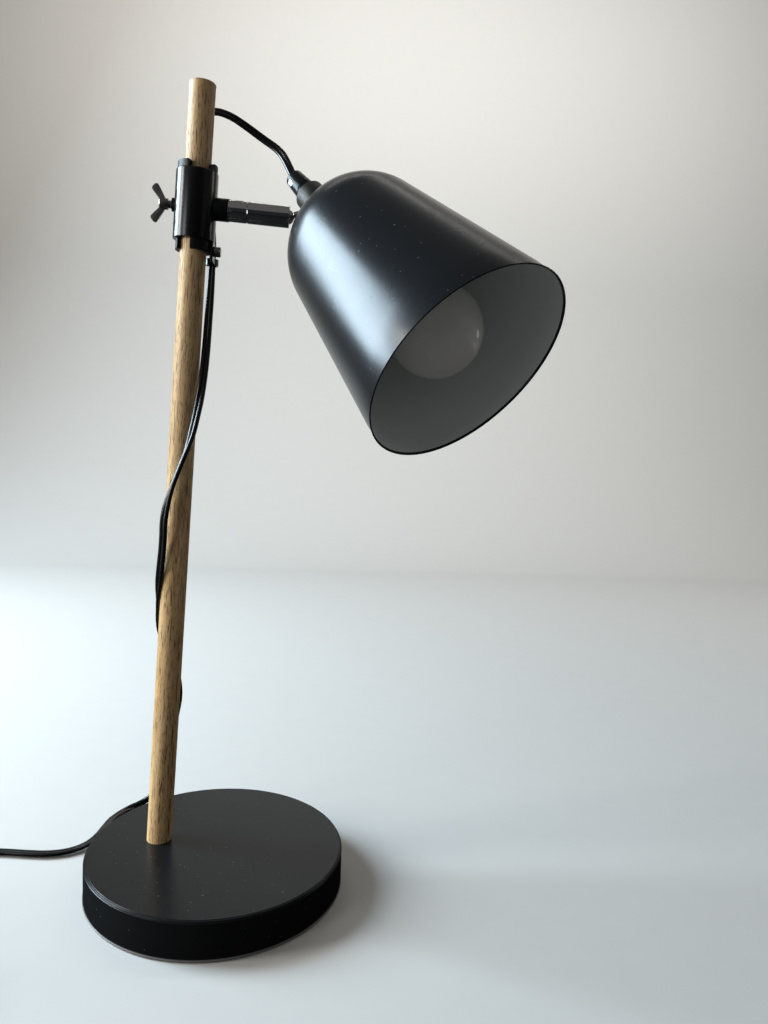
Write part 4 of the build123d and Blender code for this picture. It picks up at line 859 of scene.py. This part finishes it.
def rounded(corners, steps=5):
    """Outline points from (radius, height, rounding) corners, in millimetres.

    A point just before and after each bend keeps the flats beside it flat.
    """
    points = []
    for i, (r, z, bend) in enumerate(corners):
        here = Vector((r, z))
        if not bend:
            points.append(here)
            continue
        before = (Vector(corners[i - 1][:2]) - here).normalized()
        after = (Vector(corners[(i + 1) % len(corners)][:2]) - here).normalized()
        half = before.angle(after) / 2
        start, end = here + before * bend / math.tan(half), here + after * bend / math.tan(half)
        centre = here + (before + after).normalized() * bend / math.sin(half)
        one, two = start - centre, end - centre
        points.append(start + before * BEND_SUPPORT)
        points += [centre + one.slerp(two, k / steps) for k in range(steps + 1)]
        points.append(end + after * BEND_SUPPORT)
    return points


def lathe(name, outline, place, slot, body, steps, angle):
    """Piece turned from (radius, height) points in millimetres, placed in a frame."""
    seed = bpy.data.meshes.new(name)
    points = [(radius * MM, 0, height * MM) for radius, height in outline]
    seed.from_pydata(points, [(i, i + 1) for i in range(len(points) - 1)], [])
    return grown(name, seed, LATHE, {"Steps": steps}, place, slot, body, angle)


# %% [markdown]
# ## The shade
#
# The shade is spun from one disc of thin metal: a straight bell side, a crown that turns in, and
# a small flat top with a hole for the threaded tube. The outline goes up the outside and down the
# inside, a wall's thickness in. A cone and a ball could be joined with a Boolean, but that leaves
# a crease; here the crown's arc runs out of the straight side without a corner. The rim is a tiny
# round edge. The faces inside get their own paint, from a black lip upwards. The crown is a
# little fuller and higher here than its solid's.

# %% Shade
MOUTH_R = 71.3
SHADE_TAPER = math.radians(9)
CROWN_TOP = 160.0
CONE_H = 126.0
CROWN_R = 47.0
CROWN_EDGE_R = 5.0
SHADE_WALL = 1.0
LIP_H = 1.6
TUBE_HOLE_R = 5.1
CONE_STEPS = 12
CROWN_STEPS = 26
CROWN_EDGE_STEPS = 8
RIM_EDGE = [(0.02, 0.42), (0.2, 0.1), (0.5, 0.0), (0.82, 0.12)]
RIM_INSIDE = (1.03, 0.42)
cone_top_r = MOUTH_R - CONE_H * math.tan(SHADE_TAPER)
crown_centre = Vector((cone_top_r - CROWN_R * math.cos(SHADE_TAPER),
                       CONE_H - CROWN_R * math.sin(SHADE_TAPER)))


def toward(angle):
    """Step of length 1 at an angle from the first axis."""
    return Vector((math.cos(angle), math.sin(angle)))


def bell_side(inset):
    """Points up the bell from its rim to its hole, drawn in by inset."""
    radius = CROWN_R - inset
    top = CROWN_TOP - inset
    bend = CROWN_EDGE_R + SHADE_WALL - inset
    rise = top - bend - crown_centre.y
    meet = math.asin(rise / (radius - bend))
    points = []
    for i in range(CONE_STEPS):
        height = CONE_H * i / CONE_STEPS
        slope_r = MOUTH_R - inset / math.cos(SHADE_TAPER) - height * math.tan(SHADE_TAPER)
        points.append(Vector((slope_r, height)))
    for i in range(CROWN_STEPS + 1):
        angle = SHADE_TAPER + (meet - SHADE_TAPER) * i / CROWN_STEPS
        points.append(crown_centre + radius * toward(angle))
    corner = crown_centre + (radius - bend) * toward(meet)
    for i in range(1, CROWN_EDGE_STEPS + 1):
        angle = meet + (math.pi / 2 - meet) * i / CROWN_EDGE_STEPS
        points.append(corner + bend * toward(angle))
    points.append(Vector((TUBE_HOLE_R, top)))
    return points


outside, inside = bell_side(0), bell_side(SHADE_WALL)
rim = [Vector((MOUTH_R - inwards, up)) for inwards, up in RIM_EDGE]
lip_r = MOUTH_R - SHADE_WALL / math.cos(SHADE_TAPER) - LIP_H * math.tan(SHADE_TAPER)
lip = [Vector((lip_r, LIP_H)), Vector((MOUTH_R - RIM_INSIDE[0], RIM_INSIDE[1]))]
bell = rim + outside[1:] + inside[:0:-1] + lip + rim[:1]
shade = lathe("shade_bell", bell, HEAD, "shade_enamel", "head", steps=192, angle=50)
shade.data.materials.append(shade_inside)
to_head = HEAD.inverted()
for face in shade.data.polygons:
    spot = to_head @ (face.center / MM)
    way = to_head.to_3x3() @ face.normal
    faces_axis = way.x * spot.x + way.y * spot.y < 0 and LIP_H < spot.z < CROWN_TOP - 0.5
    faces_mouth = way.z < -0.2 and spot.z > CONE_H
    if faces_axis or faces_mouth:
        face.material_index = 1
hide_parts("shade")
print("shade faces", len(shade.data.polygons))

# %% [markdown]
# ## The bulb
#
# A blown globe: most of a sphere, an arc that runs out of it without a corner, and a short neck
# that stands in the metal cap. A ball pulled longer at one end comes near, but its neck would be
# a guess. The glass has a real thickness, so the outline goes round the outside and comes back
# inside.

# %% Bulb
BULB_R = 30.0
BULB_MIDDLE = 37.3
BULB_TURN = math.radians(130)
GLASS_T = 0.6
GLASS_NECK_R = 13.2
HOLDER_MOUTH = 86.0
GLASS_TUBE_R = 12.55
GLASS_TUBE = (89.25, 93.3)
GLOBE_STEPS = 48
GLASS_NECK_STEPS = 14


def tangent_arc(start, direction, end, steps):
    """Points of the arc that leaves start along direction and ends in end."""
    side = Vector((-direction.y, direction.x))
    chord = end - start
    radius = chord.length_squared / (2 * chord.dot(side))
    centre = start + side * radius
    one, two = start - centre, end - centre
    turn = one.angle_signed(two)
    return [centre + Matrix.Rotation(-turn * i / steps, 2) @ one for i in range(1, steps + 1)]


def globe_side(inset):
    """Points from the bulb's tip to the end of its neck."""
    radius = BULB_R - inset
    points = []
    for i in range(GLOBE_STEPS + 1):
        angle = BULB_TURN * i / GLOBE_STEPS
        points.append(Vector((radius * math.sin(angle), BULB_MIDDLE - radius * math.cos(angle))))
    neck_end = Vector((GLASS_NECK_R - inset, HOLDER_MOUTH))
    points += tangent_arc(points[-1], toward(BULB_TURN), neck_end, GLASS_NECK_STEPS)
    points += [Vector((GLASS_TUBE_R - inset, z)) for z in GLASS_TUBE]
    return points


glass = lathe("bulb_glass", globe_side(0) + globe_side(GLASS_T)[::-1], HEAD, "frosted_glass",
              "head", steps=128, angle=50)
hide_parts("bulb_globe")
print("bulb faces", len(glass.data.polygons))

# %% [markdown]
# ## The foot
#
# The foot is a pressed cover with a rolled-in hem, turned as one closed outline. The post leans,
# so its hole is a slanting one. Faces could be cut for it by hand, but an exact Boolean with a
# cylinder finds the slanting edge by itself.


# %% Foot cover
def bored(mesh, place, radius, reach):
    """Mesh with a round hole through it, in a frame; the drill reaches as far up as down."""
    bm = bmesh.new()
    bmesh.ops.create_cone(bm, cap_ends=True, segments=96, radius1=radius, radius2=radius,
                          depth=2 * reach, matrix=place)
    bmesh.ops.scale(bm, vec=(MM, MM, MM), verts=bm.verts)
    drill = mesh_of(bm, "drill")
    cutter = new_object("drill", drill)
    holder = new_object(mesh.name, mesh)
    cut = holder.modifiers.new("bore", "BOOLEAN")
    cut.object = cutter
    cut.operation = "DIFFERENCE"
    cut.solver = "EXACT"
    result = made_mesh(holder, mesh.name)
    bpy.data.objects.remove(cutter)
    bpy.data.meshes.remove(drill)
    return result


FOOT_R = 90.0
COVER_LOW = 0.8
COVER_WALL = 1.2
COVER_EDGE_R = 1.4
COVER_FOOT_R = 0.6
HEM_IN_R = 85.5
HEM_TOP = 1.8
POST_R = 8.75
POST_HOLE_R = POST_R + 0.15
DRILL_REACH = 12.0
cover_in_r, cover_in_top = FOOT_R - COVER_WALL, FOOT_H - COVER_WALL
cover_outline = rounded([
    (0, FOOT_H, 0), (FOOT_R, FOOT_H, COVER_EDGE_R), (FOOT_R, COVER_LOW, COVER_FOOT_R),
    (HEM_IN_R, COVER_LOW, 0), (HEM_IN_R, HEM_TOP, 0), (cover_in_r, HEM_TOP, 0),
    (cover_in_r, cover_in_top, COVER_EDGE_R - COVER_WALL), (0, cover_in_top, 0)], 8)
cover = lathe("foot_cover", cover_outline, Matrix(), "black_enamel", "stand", 256, SOFT_DEGREES)
cover.data = bored(cover.data, POST, POST_HOLE_R, DRILL_REACH)
smooth(cover.data)
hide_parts("base_cover")
print("foot faces", len(cover.data.polygons))

# %% [markdown]
# ## The post
#
# The post is a dowel with a just broken top edge, and a blind bore below for its insert. A
# cylinder with a Bevel modifier would make the edge, but the bore would be one more step, and one
# outline holds both.

# %% Post
POST_TOP = 526.0
POST_FOOT = -12.0
POST_EDGE_R = 0.8
BORE_R, BORE_TOP = 4.5, 5.0
post_outline = rounded([
    (0, BORE_TOP, 0), (BORE_R, BORE_TOP, 0), (BORE_R, POST_FOOT, 0), (POST_R, POST_FOOT, 0),
    (POST_R, POST_TOP, POST_EDGE_R), (0, POST_TOP, 0)])
dowel = lathe("post_dowel", post_outline, POST, "oak", "stand", steps=96, angle=50)
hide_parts("rod")
print("post faces", len(dowel.data.polygons))

# %% [markdown]
# ## Small machined pieces
#
# The CAD solids of the clamp, the arm and the small fittings already have the right form, so
# they aren't modelled anew. On the real things no edge is a knife's edge: each solid is copied,
# its doubled points are merged, and the sharp edges get a small bevel that catches light. Such an
# edge could be a shader trick, but then it wouldn't be in the shape. A copy whose volume changes
# too much keeps plain edges.

# %% Copies with broken edges
DOUBLED = 2e-6
FLAT_DEGREES = 0.3
SHARP_DEGREES = 35
MOST_CHANGE = 0.06


def finished_copy(name, edge):
    """Piece from a CAD solid, with its sharp edges broken by edge millimetres."""
    node = nodes[name]
    rough = node.data.copy()
    for layer in ("custom_normal", "sharp_edge"):
        if layer in rough.attributes:
            rough.attributes.remove(rough.attributes[layer])
    bm = bmesh.new()
    bm.from_mesh(rough)
    bmesh.ops.remove_doubles(bm, verts=bm.verts, dist=DOUBLED)
    bmesh.ops.dissolve_limit(bm, angle_limit=math.radians(FLAT_DEGREES), verts=bm.verts,
                             edges=bm.edges)
    before = bm.calc_volume()
    spare = bm.copy()
    limit = math.radians(SHARP_DEGREES)
    sharp = [e for e in bm.edges if e.is_manifold and e.calc_face_angle() > limit]
    bmesh.ops.bevel(bm, geom=sharp, offset=edge * MM, segments=2, profile=0.6,
                    affect="EDGES", clamp_overlap=True)
    share = bm.calc_volume() / before
    if abs(share - 1) > MOST_CHANGE:
        print(name, "keeps its plain edges", round(share, 3))
        bm.free()
        bm = spare
    bmesh.ops.triangulate(bm, faces=[f for f in bm.faces if len(f.verts) > 4])
    mesh = mesh_of(bm, name)
    bpy.data.meshes.remove(rough)
    smooth(mesh, SHARP_DEGREES)
    slot = slot_of[name]
    finish = finishes["gloss_enamel" if name == "cord_clip" else slot]
    piece = new_piece("finished_" + name, mesh, node["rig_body"], finish, slot)
    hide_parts(name)
    return piece


edge_sizes = {
    "clamp_liner": 0.3, "clamp_sleeve": 0.25, "wing_screw": 0.35, "arm_boss": 0.25,
    "arm_washer": 0.12, "swivel_ring": 0.15, "swivel_tube": 0.15, "ball_stud": 0.3,
    "cord_clip": 0.2, "clip_screw": 0.2, "neck": 0.2, "neck_flange": 0.2, "cord_grip": 0.2,
    "grip_screw": 0.15, "holder_cap": 0.4, "holder_body": 0.4, "cord_tie": 0.2,
    "switch_top": 0.15, "switch_bottom": 0.15, "switch_rocker": 0.25, "plug_body": 0.3,
    "plug_pins": 0.15, "base_pad": 0.3, "lead_inner": 0.1, "nipple": 0.1, "nipple_nut": 0.15,
}
finished = {name: finished_copy(name, edge) for name, edge in edge_sizes.items()}
faces = sum(len(piece.data.polygons) for piece in finished.values())
print("finished copies", len(finished), "faces", faces)

# %% [markdown]
# ## The stack on the crown
#
# The fuller crown leaves less of the neck showing. So the neck's foot goes up with the crown and
# its top comes down with the grip, while the ball's seat in its side stays where it is held.
# Scaling each piece as a whole would move that seat. So every point's height goes through one
# list of heights before and after, and what touches before still touches.

# %% Neck, grip and tube between the fuller crown and the ball
NECK_TOP = 197.5
GRIP_FOOT = 200.3
GRIP_FLARE = 0.28
NUT_LOW = 151.2
SEAT_LOW, SEAT_HIGH = 169, 182
STACK_END = 230
HELD_HEIGHTS = [(0, 0), (NUT_LOW, NUT_LOW), (SHADE_H, CROWN_TOP), (SEAT_LOW, SEAT_LOW),
                (SEAT_HIGH, SEAT_HIGH), (NECK_TOP, NECK_TOP - NECK_DROP),
                (STACK_END, STACK_END - NECK_DROP)]
FLARED = ("cord_grip", "grip_screw")
SHIFTED = ("neck", "neck_flange", "lead_inner", "nipple", "nipple_nut", *FLARED)


def restacked(height):
    """Height in the head's frame after the crown has grown and the neck has shrunk."""
    for (a, new_a), (b, new_b) in zip(HELD_HEIGHTS, HELD_HEIGHTS[1:]):
        if height <= b:
            return new_a + (new_b - new_a) * (height - a) / (b - a)
    return height


for name in SHIFTED:
    for vertex in finished[name].data.vertices:
        spot = to_head @ (vertex.co / MM)
        if name in FLARED:
            spot.xy *= 1 + GRIP_FLARE * max(spot.z - GRIP_FOOT, 0) / (GRIP_HEAD - GRIP_FOOT)
        spot.z = restacked(spot.z)
        vertex.co = HEAD @ spot * MM
print("grip's top now at", restacked(GRIP_HEAD))

# %% [markdown]
# ## Rows of ridges
#
# Threads and the ribs of a strain relief are one small form repeated along a line. The tree puts
# an instance at each point of a mesh line, and lets each be a little wider than the last. An
# Array modifier repeats as well, but copies that grow need a helper object for their offset.


# %% The tree for rows
def row_tree():
    tree = Tree("row of ridges", Ridge="Geometry", Count="Int", Step="Vector", Growth="Float",
                Finish="Material")
    add, given = tree.add, tree.given
    line = add("GeometryNodeMeshLine", {"Count": given["Count"], "Offset": given["Step"]})
    index = add("GeometryNodeInputIndex")[0]
    wider = add("ShaderNodeMath", {0: index, 1: given["Growth"], 2: 1}, operation="MULTIPLY_ADD")
    width = add("ShaderNodeCombineXYZ", {0: wider[0], 1: wider[0], 2: 1})
    spread = add("GeometryNodeInstanceOnPoints", {
        "Points": line[0], "Instance": given["Ridge"], "Scale": width[0]})
    return tree.ending_in(spread[0])


ROW = row_tree()
print("nodes in the row", len(ROW.nodes))

# %% [markdown]
# ## One ridge, and rows of it
#
# Each ridge is a ring whose section is a little taller or flatter than round. A torus could be
# added and scaled, but a short loop gives the same ring with its sizes in one call. A thread is
# really a helix, but over three short turns nobody can tell it from rings.


# %% Rings, the screw's thread and the strain relief
def ring_mesh(radius, thickness, flat, around, across):
    """Closed ring about Z; lengths are in millimetres."""
    bm = bmesh.new()
    rings = []
    for i in range(around):
        way = toward(2 * math.pi * i / around).to_3d()
        corners = []
        for k in range(across):
            angle = 2 * math.pi * k / across
            height = Vector((0, 0, flat * thickness * math.sin(angle)))
            spot = way * (radius + thickness * math.cos(angle)) + height
            corners.append(bm.verts.new(spot * MM))
        rings.append(corners)
    for one, two in zip(rings, rings[1:] + rings[:1]):
        for k in range(across):
            bm.faces.new((one[k], two[k], two[(k + 1) % across], one[(k + 1) % across]))
    return mesh_of(bm, "ridge")


def row(name, ridge, count, step, place, slot, body, growth):
    """Piece of ridges that follow one another up a frame; each is wider by growth."""
    values = {"Count": count, "Step": (0, 0, step * MM), "Growth": growth}
    return grown(name, ridge, ROW, values, place, slot, body, SOFT_DEGREES)


THREAD_R, THREAD_DEPTH, THREAD_TURNS = 2.44, 0.24, 3
THREAD_PITCH = 0.8
THREAD_FROM = 15.7
screw_place = CLAMP @ Matrix.Rotation(math.radians(-90), 4, "Y")
thread_place = screw_place @ Matrix.Translation((0, 0, THREAD_FROM))
thread = row("wing_screw_thread", ring_mesh(THREAD_R, THREAD_DEPTH, 1.2, 32, 6), THREAD_TURNS,
             THREAD_PITCH, thread_place, "dark_steel", "wing", 0.0)
RELIEF_R, RELIEF_DEPTH, RELIEF_RIBS = 3.75, 0.75, 7
RELIEF_PITCH, RELIEF_GROWTH = 2.9, 0.036
RELIEF_FROM = 2.2
plug_place = Matrix.Translation(PLUG_ENTRY) @ Matrix.Rotation(math.radians(90), 4, "X")
relief_place = plug_place @ Matrix.Translation((0, 0, RELIEF_FROM))
relief = row("plug_relief_ribs", ring_mesh(RELIEF_R, RELIEF_DEPTH, 0.9, 40, 8), RELIEF_RIBS,
             RELIEF_PITCH, relief_place, "black_plastic", "stand", RELIEF_GROWTH)
print("rows", len(thread.data.polygons), len(relief.data.polygons))

# %% [markdown]
# ## The floor
#
# A pale floor runs up behind the lamp in one bend. A floor and a wall could meet at an edge, but
# that would draw a line through the picture. It throws no light back on matt things, because so
# pale a floor would fill the shade with light from below.

# %% Floor
FLOOR_FRONT, FLOOR_BACK, FLOOR_HALF = -2.2, 1.3, 3.0
SWEEP_R, SWEEP_TOP, SWEEP_STEPS = 0.9, 3.0, 24
side_line = [(FLOOR_FRONT, 0.0)]
for i in range(SWEEP_STEPS + 1):
    angle = math.pi / 2 * i / SWEEP_STEPS
    side_line.append((FLOOR_BACK + SWEEP_R * math.sin(angle), SWEEP_R * (1 - math.cos(angle))))
side_line.append((FLOOR_BACK + SWEEP_R, SWEEP_TOP))
floor_mesh = bpy.data.meshes.new("floor")
floor_points = [(x, y, z) for y, z in side_line for x in (-FLOOR_HALF, FLOOR_HALF)]
floor_faces = [(2 * i, 2 * i + 1, 2 * i + 3, 2 * i + 2) for i in range(len(side_line) - 1)]
floor_mesh.from_pydata(floor_points, [], floor_faces)
floor_mesh.shade_smooth()
paper = Finish("pale paper")
fibre = paper.noise(paper.where(), 40, 4)
paper.surface(Base_Color=paper.mix(fibre, rgb(0.66, 0.64, 0.61), rgb(0.69, 0.67, 0.635)),
              Roughness=fibre * 0.1 + 0.75, Specular_IOR_Level=0.2)
floor_mesh.materials.append(paper.material)
floor = new_object("floor", floor_mesh)
floor.visible_diffuse = False
print("floor faces", len(floor_mesh.polygons))

# %% [markdown]
# ## The light
#
# The light is a large cool window on the left with two narrow ones beside it, a weak pane on the
# right, and a wide light aimed at the wall. A picture of a room could light it all at once, but
# area lights can be moved one by one until each highlight lies where it should.

# %% Windows
LOOK_AT = Vector((-0.02, 0.0, 0.3))


def pane(name, place, size, power, colour, aim=LOOK_AT):
    """Rectangular light at a place, turned to the middle of the lamp or to another aim."""
    data = bpy.data.lights.new(name, "AREA")
    data.shape = "RECTANGLE"
    data.size, data.size_y = size
    data.energy = power
    data.color = colour
    light = new_object(name, data)
    light.location = place
    light.rotation_euler = (Vector(aim) - Vector(place)).to_track_quat("-Z", "Y").to_euler()
    print(name, power, "W")


pane("window", (-1.45, 0.38, 0.98), (0.66, 1.05), 54, (0.68, 0.86, 1.0))
pane("side window", (-1.5, -0.3, 0.55), (0.35, 1.1), 17, (1.0, 0.98, 0.94))
pane("front window", (-1.15, -1.0, 0.45), (0.4, 0.9), 4.6, (0.9, 0.96, 1.0))
pane("right pane", (1.7, 0.6, 0.9), (0.3, 1.2), 2, (1.0, 0.97, 0.93))
pane("wall light", (0.4, 0.95, 1.95), (2.2, 0.4), 26, (1.0, 0.985, 0.95), (0.5, 2.2, 0.9))

# %% [markdown]
# ## Something dark to mirror
#
# Chrome and gloss show what stands around them, and in a white room they look like milk. The
# world could be made darker, but then the shadows would sink too. Two dark cards that only
# mirrors see darken the reflections alone.

# %% Dark cards and the world
CARD_CLOUDS = 1.2


def card(name, place, size, colour, face=None):
    """Matt card that only mirrors see; it faces the lamp unless face says otherwise."""
    mesh = bpy.data.meshes.new(name)
    x, y = size[0] / 2, size[1] / 2
    mesh.from_pydata([(-x, -y, 0), (x, -y, 0), (x, y, 0), (-x, y, 0)], [], [(0, 1, 2, 3)])
    paint = Finish(name)
    cloud = paint.noise(paint.where(), 3)
    paler = rgb(*[c * CARD_CLOUDS for c in colour])
    paint.surface(Base_Color=paint.mix(cloud, rgb(*colour), paler),
                  Roughness=cloud * 0.1 + 0.8, Specular_IOR_Level=0.0)
    mesh.materials.append(paint.material)
    made = new_object(name, mesh)
    made.location = place
    facing = Vector(face) if face else LOOK_AT - Vector(place)
    made.rotation_euler = facing.to_track_quat("Z", "Y").to_euler()
    made.visible_camera = False
    made.visible_diffuse = False
    made.visible_shadow = False


card("dark wall", (0.3, -1.6, 0.45), (2.2, 1.4), (0.02, 0.02, 0.022))
card("dark table", (0, -0.1, 0.001), (3.0, 3.4), (0.012, 0.012, 0.013), (0, 0, 1))

world = bpy.data.worlds.new("room")
world.use_nodes = True
backdrop = world.node_tree.nodes["Background"]
backdrop.inputs["Color"].default_value = rgb(1.0, 0.985, 0.96)
backdrop.inputs["Strength"].default_value = 0.1
bpy.context.scene.world = world
bpy.context.scene.view_settings.view_transform = "Standard"
print("world strength", backdrop.inputs["Strength"].default_value)

# %% [markdown]
# ## How long the lead is
#
# Each stretch's length is measured along its line, and the lengths are added up. With the switch
# they make the usual 1.8 m. The lengths could be written down, but measured ones stay true when a
# route changes.

whole = 0
for name, (piece, line) in leads.items():
    length = line_length(line)
    whole += length
    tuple(line[0])
    "plug" if name == "coil_run" else "object"
print("lead without the switch", round(whole, 3), "m")
